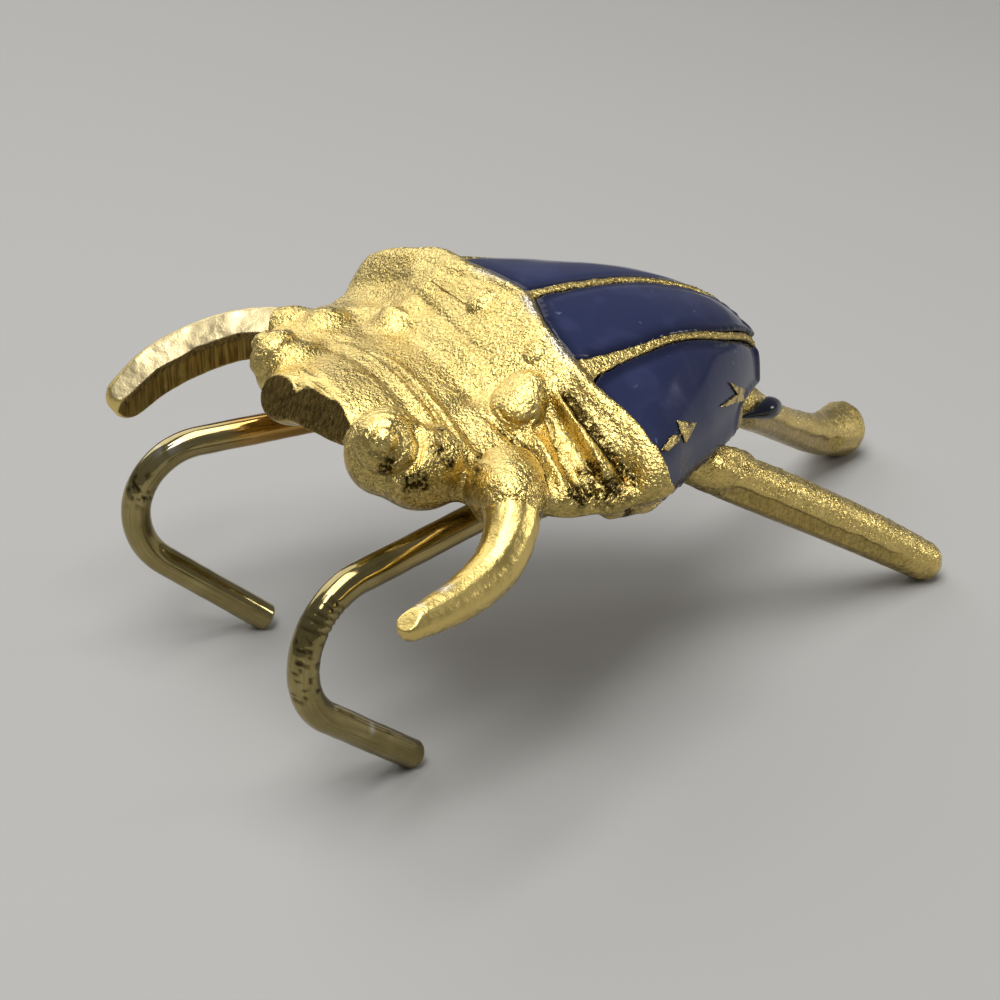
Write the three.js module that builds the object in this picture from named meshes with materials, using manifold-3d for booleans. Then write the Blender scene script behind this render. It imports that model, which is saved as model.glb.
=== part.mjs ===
// Scarab beetle paperweight: a cast beetle with enamelled wing cases, brazed legs and bent wire feet.
// Millimetres, +Z up, head towards -Y, the beetle's left side is +X, origin on the ground under the middle.
import * as THREE from "three";
import { mergeVertices } from "three/addons/utils/BufferGeometryUtils.js";
import Module from "manifold-3d";

const wasm = await Module();
wasm.setup();

// Stance: the belly is a flat plane that rises towards the head and leans a little to the left.
const FIGURE_MIDDLE_Y = 9.4;
const BELLY_HEIGHT = 23.6;
const NOSE_UP = THREE.MathUtils.degToRad(8.7);
const LEFT_LEAN = THREE.MathUtils.degToRad(5);
const JOINT_GAP = 0.3;

// Body sections stand upright on the ground, so they lean forwards on the sloping belly.
const SECTION_LEAN = Math.tan(NOSE_UP);

// The back is a low roof that falls to its edges and turns down there into steep flanks.
// fall is the share of the height lost at the edge, bow bends the roof from straight (1) to round (3),
// squareness sharpens the turn into the flank. Each row of values runs along the body as [y, value].
const ABDOMEN = {
  start: -5,
  end: 28.2,
  steps: 24,
  sides: 30,
  squareness: 5,
  rightReach: 1,
  halfWidth: [[-5, 20.4], [0, 20], [4, 17.8], [9, 14.5], [14, 11.6], [19, 8.3], [24, 4.5],
    [27, 2], [28.2, 1]],
  height: [[-5, 11.6], [0, 12.6], [6, 13.3], [12, 13.3], [18, 12.2], [22, 10.5], [25, 8],
    [27.2, 4.4], [28.2, 2]],
  fall: [[-5, 0.49], [28.2, 0.49]],
  bowLeft: [[-5, 1.15], [0, 1.15], [6, 1.9], [12, 2.8], [28.2, 3]],
  bowRight: [[-5, 2.4], [0, 2.6], [12, 3], [28.2, 3]],
};

// Thorax shield: widest at the raised lip along its back edge, which sweeps forwards at its right end.
const THORAX = {
  start: -18.5,
  end: 0.3,
  steps: 42,
  sides: 32,
  squareness: 9,
  rightReach: 1.09,
  sweepRight: 4.4,
  sweepStart: 0.55,
  halfWidth: [[-18.5, 12], [-15, 16.2], [-11, 18.6], [-6, 20.6], [-1, 22.5], [0.3, 22.6]],
  height: [[-18.5, 4.6], [-14, 5.8], [-9, 7.2], [-5, 9.3], [-2.4, 11.6], [-0.7, 13.2], [0.3, 13]],
  fall: [[-18.5, 0.6], [-10, 0.62], [-4, 0.7], [-1.5, 0.6], [0.3, 0.48]],
  bowLeft: [[-18.5, 1.8], [-10, 1.5], [-3, 1.2], [0.3, 1.15]],
  bowRight: [[-18.5, 1.8], [0.3, 1.8]],
  edgeLift: [[-18.5, 0], [-10, 0.3], [-4, 1.6], [0.3, 4]],
};
const EDGE_CHAMFER = 3.4;

// The lip and the front of the wing cases bow forwards on both sides of the seam: [x, shift].
const LIP_SHIFT = [[-24.6, -0.6], [-18, -1.2], [-10, -2], [-4, -0.9], [0, -0.4], [5, -1.6], [12, -1.5],
  [18, -0.4], [23, 0]];
const LIP_FADE = { start: -6, full: -1.5, hold: 1.5, end: 7 };

// Cross ridges and grooves of the shield: [y, height, half length].
const THORAX_RIDGES = [
  [-16.9, -0.2, 0.6],
  [-15.6, 0.45, 0.5],
  [-14.9, -0.2, 0.35],
  [-14.2, 0.4, 0.5],
  [-10.4, -0.3, 0.8],
  [-8.2, 0.5, 0.8],
  [-6.2, -0.15, 0.5],
  [-4.9, 0.25, 0.7],
  [-3, -0.3, 0.7],
];

// Head: a low snout between two eye lobes, with a flat ground face at the front.
const HEAD = {
  start: -26,
  end: -14,
  steps: 10,
  sides: 20,
  squareness: 3,
  rightReach: 1.2,
  halfWidth: [[-26, 4.2], [-23, 5.8], [-20, 8], [-17, 10.6], [-14, 12.4]],
  height: [[-26, 3.8], [-22.7, 4.9], [-19, 5.5], [-16, 5.7], [-14, 5.7]],
  fall: [[-26, 0.2], [-14, 0.2]],
  bowLeft: [[-26, 2], [-14, 2]],
  bowRight: [[-26, 2], [-14, 2]],
};
const HEAD_CUT = { x: -2.5, width: 14.6, y: -25.2, tilt: THREE.MathUtils.degToRad(22), roll: 0 };
const CHIN_CUT = {
  x: -0.4,
  width: 13.2,
  y: -20.4,
  tilt: THREE.MathUtils.degToRad(-75),
  roll: THREE.MathUtils.degToRad(-12),
};
const CUT_DEPTH = 20;
const CUT_REACH = 60;

// Round details of the casting: centre [x, y, z] and half sizes.
const ROUND_DETAILS = [
  { centre: [8.4, -21.3, 2.9], half: [3.7, 3.8, 4.2] },
  { centre: [10.3, -18.8, 2.1], half: [4.4, 4.6, 3.9] },
  { centre: [-10.4, -20.7, 1.7], half: [3.5, 3.5, 3.5] },
  { centre: [9.8, -9.2, 6.5], half: [2, 2, 1.8] },
  { centre: [-10.6, -10, 5.7], half: [2.1, 2.1, 1.7] },
  { centre: [16.6, -13.8, 2.2], half: [3.5, 3.5, 3.4] },
  { centre: [-15.6, -14, 1.8], half: [3.4, 3.4, 3.4] },
];

// Enamel cells: the seam and ribs between them, their sunk depth, and the bare rim, which rises at the tail.
const SEAM_X = -0.8;
const RIB_X = {
  left: [[0, 10.3], [6, 9.2], [12, 8], [17.4, 6.4], [21, 4.7], [25.5, 2.1]],
  right: [[0, 14], [6, 12.4], [12, 9.8], [17.4, 6.9], [21, 5], [25.5, 2.3]],
};
const RIB_HALF_WIDTH = 0.55;
const RIB_FLARE = 1.2;
const SEAM_FLARE = 0.3;
const RIB_FLARE_LENGTH = 2.2;
const RIM_HEIGHT = [[0, 0.7], [17, 0.7], [18.6, 1.3], [20.4, 2.8], [25.5, 2.4]];
const PANEL_START = 0.9;
const PANEL_END = 25.2;
const PANEL_STEPS = 18;
const PANEL_COLUMNS = 10;
const ENAMEL_THICKNESS = 1.3;
const ENAMEL_SINK = 0.15;
const CELL_ROOF = 2;
const ARCH_STEPS = 120;
const CURVE_STEPS = 24;

// Wire feet: round wire, straight under the belly, then one hook down to the ground.
const WIRE_RADIUS = 1.43;
const WIRE_BEND_RADIUS = 7;
const WIRE_BEND = THREE.MathUtils.degToRad(139);
const WIRE_SHANK = 33;
const WIRE_RISE = THREE.MathUtils.degToRad(2.5);
const WIRE_TOE = 12.9;
const WIRE_TOE_IN = THREE.MathUtils.degToRad(12);
const WIRE_STEPS = 36;
const WIRE_SIDES = 10;
const WIRE_BEND_START = new THREE.Vector3(15.5, -27.2, 21.68);

// Legs: hand-shaped centre lines [x, y, z] with the half height of the bar at each point.
const LEG_STEPS = 14;
const LEG_SIDES = 12;
const TIP_ROUNDING = [0.35, 0.7, 0.92];
const LEGS = {
  front_leg_left: {
    line: [[15.5, -12.6, 27.2], [18.9, -14.2, 27.2], [22, -16.5, 25.2], [23.6, -18.9, 23.8],
      [24.8, -22, 23.1], [25.8, -25.4, 22.9], [26.7, -29, 22.9]],
    half: [2.9, 2.8, 2.5, 2.3, 2.1, 1.8, 1.35],
    flatness: 0.95,
  },
  front_leg_right: {
    line: [[-15.5, -13.2, 27.6], [-19, -15.2, 28.4], [-22.6, -18.9, 27.9], [-25, -22.9, 26.4],
      [-26.2, -26.8, 24.6], [-26.6, -30, 22.4]],
    half: [2.8, 2.8, 2.8, 2.8, 2.7, 2.4],
    flatness: 0.85,
  },
  rear_leg_left: {
    line: [[8.6, 8.6, 21.2], [10.3, 14.2, 18.2], [11.1, 19.5, 15.1], [12, 26.7, 10.65], [13, 34.4, 5.7],
      [13.8, 40, 1.9]],
    half: [1.9, 2.5, 2.7, 2.65, 2.5, 2.25],
    flatness: 0.92,
  },
  rear_leg_right: {
    line: [[1.2, 18.8, 22.4], [0.6, 22.6, 20.1], [-0.5, 26.6, 17.05], [-2.6, 30.7, 14.4], [-5.5, 35.7, 11],
      [-10.2, 45.3, 5.2], [-13.2, 51.2, 3]],
    half: [1.8, 2, 2.1, 2.1, 2.1, 2.5, 3.5],
    flatness: 0.9,
  },
};

// Solder saddles over each wire shank: places along the belly, half sizes and cover over the wire.
const SOLDER_PLACES = { front: -7, rear: 1 };
const SOLDER_HALF_WIDTH = 3.2;
const SOLDER_HALF_LENGTH = 3.2;
const SOLDER_COVER = 1;

// Enamel that ran down on the root of the right rear leg, in a long drip along its top.
const DRIP_CENTRE = new THREE.Vector3(0.3, 28.6, 17);
const DRIP_HALF = [1.6, 3.6, 1.5];
const DRIP_SLOPE = THREE.MathUtils.degToRad(-17);
const DRIP_TURN = THREE.MathUtils.degToRad(33);

// Blocks for cutting are larger than anything they cut.
const BLOCK = 200;
const BALL_ROWS = 8;
const MERGE_DISTANCE = 1e-4;

// Materials by finish.
const GOLD = { color: 0xc9a244, metalness: 1, roughness: 0.32 };
const WIRE_GOLD = { color: 0xb8913a, metalness: 1, roughness: 0.25 };
const ENAMEL = { color: 0x23284f, metalness: 0, roughness: 0.15 };
const DARK_ENAMEL = { color: 0x0e1322, metalness: 0, roughness: 0.1 };
const SOLDER = { color: 0xa88a4a, metalness: 1, roughness: 0.45 };

// Value between hand-set stations [y, value], on a smooth curve.
function along(stations) {
  const curve = new THREE.SplineCurve(stations.map(([y, value]) => new THREE.Vector2(y, value)));
  const points = curve.getPoints(stations.length * CURVE_STEPS);
  return (y) => {
    const next = points.findIndex((p) => p.x >= y);
    if (next === 0) return points[0].y;
    if (next < 0) return points[points.length - 1].y;
    const before = points[next - 1];
    const part = (y - before.x) / (points[next].x - before.x);
    return THREE.MathUtils.lerp(before.y, points[next].y, part);
  };
}

// Closed skin over a row of rings that all have the same number of points.
function loft(rings, close = flatCap) {
  const count = rings[0].length;
  const last = (rings.length - 1) * count;
  const points = rings.flat();
  const index = [];
  for (let i = 0; i < rings.length - 1; i++) {
    for (let j = 0; j < count; j++) {
      const a = i * count + j;
      const b = i * count + ((j + 1) % count);
      index.push(a, b, b + count, a, b + count, a + count);
    }
  }
  for (const [a, b, c] of close(rings[0])) index.push(c, b, a);
  for (const [a, b, c] of close(rings[rings.length - 1])) index.push(last + a, last + b, last + c);
  const geometry = new THREE.BufferGeometry().setFromPoints(points);
  geometry.setIndex(index);
  return geometry;
}

// Triangles that close a flat ring, found on the ring's own plane.
function flatCap(ring) {
  const centre = ring.reduce((sum, p) => sum.add(p), new THREE.Vector3()).divideScalar(ring.length);
  const normal = new THREE.Vector3();
  ring.forEach((p, i) => {
    const next = ring[(i + 1) % ring.length];
    normal.add(p.clone().sub(centre).cross(next.clone().sub(centre)));
  });
  const turn = new THREE.Quaternion().setFromUnitVectors(normal.normalize(), new THREE.Vector3(0, 0, 1));
  const flat = ring.map((p) => {
    const q = p.clone().sub(centre).applyQuaternion(turn);
    return new THREE.Vector2(q.x, q.y);
  });
  return THREE.ShapeUtils.triangulateShape(flat, []);
}

// Triangles that close a bowed ring, in strips between its two facing halves.
function stripCap(ring) {
  const last = ring.length - 1;
  const faces = [];
  for (let k = 0; k < (last - 1) / 2; k++) {
    faces.push([k, k + 1, last - k - 1], [k, last - k - 1, last - k]);
  }
  return faces;
}

// A closed geometry as a solid for joining and cutting.
function solid(geometry) {
  const bare = new THREE.BufferGeometry();
  bare.setAttribute("position", geometry.getAttribute("position").clone());
  if (geometry.index) bare.setIndex(geometry.index.clone());
  const merged = mergeVertices(bare, MERGE_DISTANCE);
  const vertProperties = new Float32Array(merged.attributes.position.array);
  const triVerts = new Uint32Array(merged.index.array);
  return new wasm.Manifold(new wasm.Mesh({ numProp: 3, vertProperties, triVerts }));
}

// A solid back as a geometry.
function geometryOf(body) {
  const mesh = body.getMesh();
  const geometry = new THREE.BufferGeometry();
  geometry.setAttribute("position", new THREE.BufferAttribute(mesh.vertProperties, 3));
  geometry.setIndex(new THREE.BufferAttribute(mesh.triVerts, 1));
  geometry.computeVertexNormals();
  return geometry;
}

// A squashed ball with its half sizes.
function ball(centre, half) {
  const geometry = new THREE.SphereGeometry(1, BALL_ROWS * 2, BALL_ROWS);
  geometry.scale(half[0], half[1], half[2]);
  return geometry.translate(centre.x, centre.y, centre.z);
}

// The values of a form's section at any y.
function sectionsOf(form) {
  const rows = ["halfWidth", "height", "fall", "bowLeft", "bowRight"];
  const curves = rows.map((row) => [row, along(form[row])]);
  return (y) => Object.fromEntries([["y", y], ...curves.map(([row, curve]) => [row, curve(y)])]);
}

// How far a point of the back is bowed along the body by the lip.
const lipShift = along(LIP_SHIFT);
function lipBow(x, y) {
  const rise = THREE.MathUtils.smoothstep(y, LIP_FADE.start, LIP_FADE.full);
  const fall = THREE.MathUtils.smoothstep(y, LIP_FADE.hold, LIP_FADE.end);
  return lipShift(x) * rise * (1 - fall);
}

// A point of a section: turn runs from the left edge (0) over the top to the right edge (pi).
function domePoint(form, section, turn) {
  const across = Math.cos(turn);
  const out = Math.abs(across);
  const isRight = across < 0;
  const bow = isRight ? section.bowRight : section.bowLeft;
  const flank = (1 - out ** form.squareness) ** (1 / form.squareness);
  const z = section.height * (1 - section.fall * out ** bow) * flank;
  const reach = isRight ? form.rightReach : 1;
  const swept = isRight && form.sweepRight ? Math.max(0, out - form.sweepStart) / (1 - form.sweepStart) : 0;
  const x = section.halfWidth * reach * across;
  const y = section.y - SECTION_LEAN * z - (form.sweepRight ?? 0) * swept + lipBow(x, section.y);
  return new THREE.Vector3(x, y, z);
}

// A form with a flat belly, lofted along the body, with raised ridges across it and lifted edges.
function dome(form, ridges = []) {
  const sectionAt = sectionsOf(form);
  const edgeLift = along(form.edgeLift ?? [[form.start, 0], [form.end, 0]]);
  const rings = [];
  for (let i = 0; i <= form.steps; i++) {
    const y = THREE.MathUtils.lerp(form.start, form.end, i / form.steps);
    const swell = ([at, rise, half]) => rise * Math.exp(-(((y - at) / half) ** 2));
    const raise = ridges.reduce((sum, ridge) => sum + swell(ridge), 0);
    const section = sectionAt(y);
    section.halfWidth += raise / 2;
    section.height += raise;
    const ring = [];
    for (let j = 0; j <= form.sides; j++) {
      const point = domePoint(form, section, (Math.PI * j) / form.sides);
      ring.push(point.setZ(Math.max(point.z, edgeLift(y))));
    }
    if (form.edgeLift) {
      const inside = (edge) => new THREE.Vector3(edge.x - Math.sign(edge.x) * EDGE_CHAMFER, edge.y, 0);
      ring.push(inside(ring[form.sides]), inside(ring[0]));
    }
    rings.push(ring.reverse());
  }
  return loft(rings);
}

// One enamel cell between the centre seam, the rib and the rim, grown by a gap on all its sides.
function panel(side, outer, grow, floor, roof) {
  const sectionAt = sectionsOf(ABDOMEN);
  const ribX = along(side > 0 ? RIB_X.left : RIB_X.right);
  const rimHeight = along(RIM_HEIGHT);
  const rings = [];
  for (let i = 0; i <= PANEL_STEPS; i++) {
    const y = THREE.MathUtils.lerp(PANEL_START - grow, PANEL_END + grow, i / PANEL_STEPS);
    const arch = halfArch(side, sectionAt(y));
    const rib = archLengthAtX(arch, ribX(y));
    const flare = Math.exp(-(y - PANEL_START) / RIB_FLARE_LENGTH);
    const ribHalf = RIB_HALF_WIDTH + RIB_FLARE * flare;
    const seamHalf = RIB_HALF_WIDTH + SEAM_FLARE * flare;
    const total = arch[arch.length - 1].length;
    const from = (outer ? rib + ribHalf : seamHalf + side * SEAM_X) - grow;
    const to = (outer ? total - rimHeight(y) : rib - ribHalf) + grow;
    const top = [];
    const bottom = [];
    for (let k = 0; k <= PANEL_COLUMNS; k++) {
      const spot = archAt(arch, THREE.MathUtils.lerp(from, to, k / PANEL_COLUMNS));
      top.push(spot.point.clone().addScaledVector(spot.normal, roof));
      bottom.push(spot.point.clone().addScaledVector(spot.normal, -floor));
    }
    const ring = top.concat(bottom.reverse());
    rings.push(side > 0 ? ring : ring.reverse());
  }
  return loft(rings, stripCap);
}

// One half of a wing-case section from the seam down to the rim, with the length walked so far.
function halfArch(side, section) {
  const arch = [];
  for (let j = 0; j <= ARCH_STEPS; j++) {
    const turn = (Math.PI / 2) * (1 - (side * j) / ARCH_STEPS);
    const point = domePoint(ABDOMEN, section, turn);
    const length = j ? arch[j - 1].length + point.distanceTo(arch[j - 1].point) : 0;
    arch.push({ point, length, side });
  }
  return arch;
}

// Length along a section from the seam to where it is x wide.
function archLengthAtX(arch, x) {
  const next = arch.findIndex((a) => Math.abs(a.point.x) >= x);
  const a = arch[next - 1];
  const b = arch[next];
  const part = (x - Math.abs(a.point.x)) / (Math.abs(b.point.x) - Math.abs(a.point.x));
  return THREE.MathUtils.lerp(a.length, b.length, part);
}

// Point and outward normal of a section at a length from the seam.
function archAt(arch, length) {
  const found = arch.findIndex((a) => a.length >= length);
  const next = Math.max(1, found < 0 ? arch.length - 1 : found);
  const a = arch[next - 1];
  const b = arch[next];
  const part = (length - a.length) / (b.length - a.length);
  const point = a.point.clone().lerp(b.point, part);
  const run = b.point.clone().sub(a.point);
  const normal = new THREE.Vector3(-run.z, 0, run.x).normalize().multiplyScalar(a.side);
  return { point, normal };
}

// A bar along a smooth line, half round on top and flatter below, with a rounded free end.
function bar(leg, grow) {
  const curve = new THREE.CatmullRomCurve3(leg.line.map((p) => new THREE.Vector3(...p)));
  const half = along(leg.half.map((h, i) => [i / (leg.half.length - 1), h]));
  const rings = [];
  for (let i = 0; i <= LEG_STEPS; i++) {
    const part = i / LEG_STEPS;
    rings.push(barRing(curve, leg, part, half(part) + grow, 0));
  }
  const tipHalf = half(1) + grow;
  TIP_ROUNDING.forEach((rise) => {
    const reach = tipHalf * leg.flatness * rise;
    rings.push(barRing(curve, leg, 1, tipHalf * Math.sqrt(1 - rise * rise), reach));
  });
  return loft(rings);
}

function barRing(curve, leg, part, half, beyond) {
  const tangent = curve.getTangent(part);
  const across = new THREE.Vector3(0, 0, 1).cross(tangent).normalize();
  const up = new THREE.Vector3().crossVectors(tangent, across);
  const centre = curve.getPoint(part).addScaledVector(tangent, beyond);
  const ring = [];
  for (let j = 0; j < LEG_SIDES; j++) {
    const turn = (2 * Math.PI * j) / LEG_SIDES;
    const drop = Math.sin(turn) < 0 ? leg.flatness : 1;
    const point = centre.clone().addScaledVector(across, half * leg.flatness * Math.cos(turn));
    ring.push(point.addScaledVector(up, half * drop * Math.sin(turn)));
  }
  return ring;
}

// Centre line of a wire foot on its own upright plane: a shank that rises to the back, hook and toe.
class HookCurve extends THREE.Curve {
  getPoint(part) {
    const bend = WIRE_BEND_RADIUS * (WIRE_BEND - WIRE_RISE);
    const walked = part * (WIRE_SHANK + bend + WIRE_TOE);
    const bent = THREE.MathUtils.clamp(walked - WIRE_SHANK, 0, bend);
    const turn = WIRE_RISE + bent / WIRE_BEND_RADIUS;
    const before = Math.max(0, WIRE_SHANK - walked);
    const after = Math.max(0, walked - WIRE_SHANK - bend);
    const point = new THREE.Vector3(0, -Math.sin(turn), Math.cos(turn) - 1).multiplyScalar(WIRE_BEND_RADIUS);
    const backwards = new THREE.Vector3(0, Math.cos(turn), Math.sin(turn));
    return point.addScaledVector(backwards, before - after);
  }
}

function wire(radius) {
  const section = new THREE.Shape();
  for (let j = 0; j < WIRE_SIDES; j++) {
    const turn = (2 * Math.PI * j) / WIRE_SIDES;
    const corner = [radius * Math.cos(turn), radius * Math.sin(turn)];
    if (j) section.lineTo(...corner);
    else section.moveTo(...corner);
  }
  return new THREE.ExtrudeGeometry(section, { steps: WIRE_STEPS, extrudePath: new HookCurve() });
}

// Everything below the ground plane, to give each foot its worn flat.
function ground() {
  return solid(new THREE.BoxGeometry(BLOCK, BLOCK, BLOCK).translate(0, 0, -BLOCK / 2));
}

function mesh(name, geometry, finish) {
  const made = new THREE.Mesh(geometry, new THREE.MeshStandardMaterial(finish));
  made.name = name;
  return made;
}

const scarab = new THREE.Group();
const figure = new THREE.Group();
figure.position.y = -FIGURE_MIDDLE_Y;
scarab.add(figure);

const body = new THREE.Group();
body.position.z = BELLY_HEIGHT;
body.rotation.set(-NOSE_UP, LEFT_LEAN, 0);
body.updateMatrix();
figure.add(body);
const intoBody = body.matrix.clone().invert();

// Wire feet, each turned a little inwards towards the back.
const wireMeshes = [];
for (const [name, side] of [["left", 1], ["right", -1]]) {
  const foot = mesh("wire_foot_" + name, wire(WIRE_RADIUS), WIRE_GOLD);
  foot.position.copy(WIRE_BEND_START).setX(side * WIRE_BEND_START.x);
  foot.rotation.z = side * WIRE_TOE_IN;
  foot.updateMatrix();
  const placed = foot.geometry.clone().applyMatrix4(foot.matrix);
  const flat = geometryOf(solid(placed).subtract(ground()));
  foot.geometry = flat.applyMatrix4(foot.matrix.clone().invert());
  figure.add(foot);
  wireMeshes.push({ name, foot, room: wire(WIRE_RADIUS + JOINT_GAP).applyMatrix4(foot.matrix) });
}

// Legs, with the room each one takes in the casting.
const legRooms = [];
for (const [name, leg] of Object.entries(LEGS)) {
  figure.add(mesh(name, geometryOf(solid(bar(leg, 0)).subtract(ground())), GOLD));
  legRooms.push(bar(leg, JOINT_GAP));
}

// A wide cutting block with its back face at y, turned about X and rolled about Y.
function cutter({ x, width, y, tilt, roll }) {
  const block = new THREE.BoxGeometry(width, CUT_DEPTH, CUT_REACH).translate(x, -CUT_DEPTH / 2, 0);
  return solid(block.rotateX(-tilt).rotateY(roll).translate(0, y, 0));
}

// The whole casting: wing-case frame, shield and head in one, with sunk cells, wire grooves and leg sockets.
function castingSolid() {
  let casting = solid(dome(ABDOMEN)).add(solid(dome(THORAX, THORAX_RIDGES))).add(solid(dome(HEAD)));
  for (const { centre, half } of ROUND_DETAILS) {
    casting = casting.add(solid(ball(new THREE.Vector3(...centre), half)));
  }
  casting = casting.subtract(cutter(HEAD_CUT)).subtract(cutter(CHIN_CUT));
  for (const side of [1, -1]) {
    for (const outer of [true, false]) {
      const floor = ENAMEL_SINK + ENAMEL_THICKNESS + JOINT_GAP;
      casting = casting.subtract(solid(panel(side, outer, JOINT_GAP, floor, CELL_ROOF)));
    }
  }
  for (const { room } of wireMeshes) casting = casting.subtract(solid(room.clone().applyMatrix4(intoBody)));
  for (const room of legRooms) casting = casting.subtract(solid(room.clone().applyMatrix4(intoBody)));
  return casting;
}
const casting = castingSolid();
body.add(mesh("body_casting", geometryOf(casting), GOLD));

for (const [name, side] of [["left", 1], ["right", -1]]) {
  for (const [place, outer] of [["outer", true], ["inner", false]]) {
    const fill = panel(side, outer, 0, ENAMEL_SINK + ENAMEL_THICKNESS, -ENAMEL_SINK);
    body.add(mesh("enamel_" + name + "_" + place, fill, ENAMEL));
  }
}

// Solder saddles that hold the wires in their grooves.
for (const { name, foot, room } of wireMeshes) {
  const shankStart = foot.position.clone().applyMatrix4(intoBody);
  const shankEnd = new HookCurve().getPoint(0).applyMatrix4(foot.matrix).applyMatrix4(intoBody);
  for (const [place, y] of Object.entries(SOLDER_PLACES)) {
    const axis = shankStart.clone().lerp(shankEnd, (y - shankStart.y) / (shankEnd.y - shankStart.y));
    const depth = WIRE_RADIUS + JOINT_GAP + SOLDER_COVER - axis.z;
    const above = new THREE.BoxGeometry(BLOCK, BLOCK, BLOCK).translate(0, 0, BLOCK / 2 - JOINT_GAP);
    const lump = ball(axis.setZ(0), [SOLDER_HALF_WIDTH, SOLDER_HALF_LENGTH, depth]);
    const saddle = solid(lump).subtract(solid(above)).subtract(solid(room.clone().applyMatrix4(intoBody)));
    body.add(mesh("solder_" + name + "_" + place, geometryOf(saddle), SOLDER));
  }
}

// The drip sits on top of the right rear leg.
const drop = ball(new THREE.Vector3(), DRIP_HALF).rotateX(DRIP_SLOPE).rotateZ(DRIP_TURN);
drop.translate(DRIP_CENTRE.x, DRIP_CENTRE.y, DRIP_CENTRE.z);
const drip = solid(drop).subtract(solid(bar(LEGS.rear_leg_right, JOINT_GAP)));
figure.add(mesh("enamel_drip", geometryOf(drip), DARK_ENAMEL));

export default scarab;
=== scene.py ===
"""Scarab beetle paperweight: gold-plated casting with enamelled wing cases, cast legs and wire feet."""

import math

import bpy
import numpy as np
from bpy.props import FloatProperty, FloatVectorProperty, PointerProperty
from mathutils import Matrix, Vector, noise
from mathutils.bvhtree import BVHTree
from mathutils.kdtree import KDTree


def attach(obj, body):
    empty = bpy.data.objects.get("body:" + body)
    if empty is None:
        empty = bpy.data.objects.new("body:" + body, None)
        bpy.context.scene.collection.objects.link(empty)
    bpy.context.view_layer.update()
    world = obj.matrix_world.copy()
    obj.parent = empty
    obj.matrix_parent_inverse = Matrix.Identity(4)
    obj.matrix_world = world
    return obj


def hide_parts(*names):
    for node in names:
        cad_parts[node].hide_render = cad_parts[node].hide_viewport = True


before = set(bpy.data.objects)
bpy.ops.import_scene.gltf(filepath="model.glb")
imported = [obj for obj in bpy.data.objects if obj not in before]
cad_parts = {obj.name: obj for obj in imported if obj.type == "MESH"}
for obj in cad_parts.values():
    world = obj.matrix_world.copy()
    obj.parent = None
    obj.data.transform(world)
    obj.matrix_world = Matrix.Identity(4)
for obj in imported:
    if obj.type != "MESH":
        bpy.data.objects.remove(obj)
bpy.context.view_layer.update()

bl_info = {
    "name": "Scarab Paperweight",
    "version": (1, 0, 0),
    "blender": (4, 5, 0),
    "location": "View3D > Sidebar > Scarab",
    "description": "Dresses a packed scarab paperweight as a gold-plated casting with enamelled wing cases",
    "category": "Object",
}

MM = 0.001

# Facet sizes of the remeshed copies, the gap that is merged in a copy, and the casting's most triangles.
ROOT_VOXEL = 0.3
FILL_VOXEL = 0.18
LEG_VOXEL = 0.2
SADDLE_VOXEL = 0.2
DRIP_VOXEL = 0.14
MERGE_GAP = 0.002
CASTING_TRIANGLES = 190000

# Rounds of smoothing, and of blurring where the general shrink is given back.
CASTING_ROUNDS = 60
CASTING_SPREAD = 30
HEAD_CREASE_ROUNDS = 70
FILL_ROUNDS = 24
FILL_SPREAD = 12
FILL_LEVEL_ROUNDS = 140
FILL_LAST_ROUNDS = 6
RIM_ROUNDS = 30
LEG_ROUNDS = 14
SADDLE_ROUNDS = 10
DRIP_ROUNDS = 12

# Places on the figure are in millimetres, with y counted from the back edge of the shield.
SHIELD_EDGE_Y = -9.4
BELLY_HEIGHT = 23.6
BELLY_SLOPE_Y = -0.153
BELLY_SLOPE_X = -0.087

# Lines across the back of the casting: height, half width, and the line as (x, y). Grooves are negative.
BACK_LINES = (
    (-0.20, 0.60, ((-9, -16.9), (0, -16.5), (8, -16.8), (15, -17.0))),
    (0.22, 0.40, ((-9, -15.6), (-3, -14.8), (3, -15.3), (8, -15.6), (13, -15.9), (16, -15.5))),
    (-0.30, 0.25, ((-5, -14.8), (-3, -14.5), (2, -14.7), (7, -14.8), (12, -15.1), (15, -14.8))),
    (0.22, 0.40, ((-3, -14.2), (2, -14.0), (7, -14.1), (12, -14.4), (15, -14.0))),
    (-0.45, 0.38, ((10.4, -10.6), (11.8, -10.1), (13.6, -9.6), (16.6, -9.4), (18, -9.6))),
    (0.20, 0.50, ((-12, -9.4), (-10, -9.0), (-6, -7.8), (0, -8.0), (5, -7.8))),
    (0.40, 0.40, ((12.5, -8.0), (14, -8.2), (18.5, -8.5))),
    (-0.35, 0.30, ((11.5, -6.1), (12.6, -6.3), (14.2, -6.7), (16.1, -7.2), (18, -7.4))),
    (-0.18, 0.32, ((-12, -6.3), (-5, -6.9), (2, -7.4), (5, -7.6))),
    (-0.10, 0.35, ((-14, -3.6), (-9, -3.8), (0, -2.0), (3, -2.2), (7, -2.8), (11, -2.9))),
    (-0.70, 0.70, ((11.8, -4.3), (13.3, -4.2), (14.9, -4.2), (16.7, -3.9), (18.3, -3.6), (20.9, -2.6))),
    (-0.30, 0.24, ((-5.7, -20.8), (-3.9, -21.2), (-2.6, -21.2))),
)
LINE_FADE = 1.4

# Round bosses on the back: x, y, radius and height.
BOSSES = (
    (9.6, -7.5, 2.6, 1.50),
    (-2.4, -4.2, 1.2, 0.50),
    (7.1, -4.2, 1.0, 0.35),
    (13.0, -19.7, 2.8, -0.45),
)

# The shield's lip bows forwards on both sides of the seam: x and shift along the body.
LIP_BOW = (
    (-24.6, -0.6), (-18, -1.2), (-10, -2.0), (-4, -0.9), (0, -0.4),
    (5, -1.6), (12, -1.5), (18, -0.4), (23, 0),
)

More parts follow.
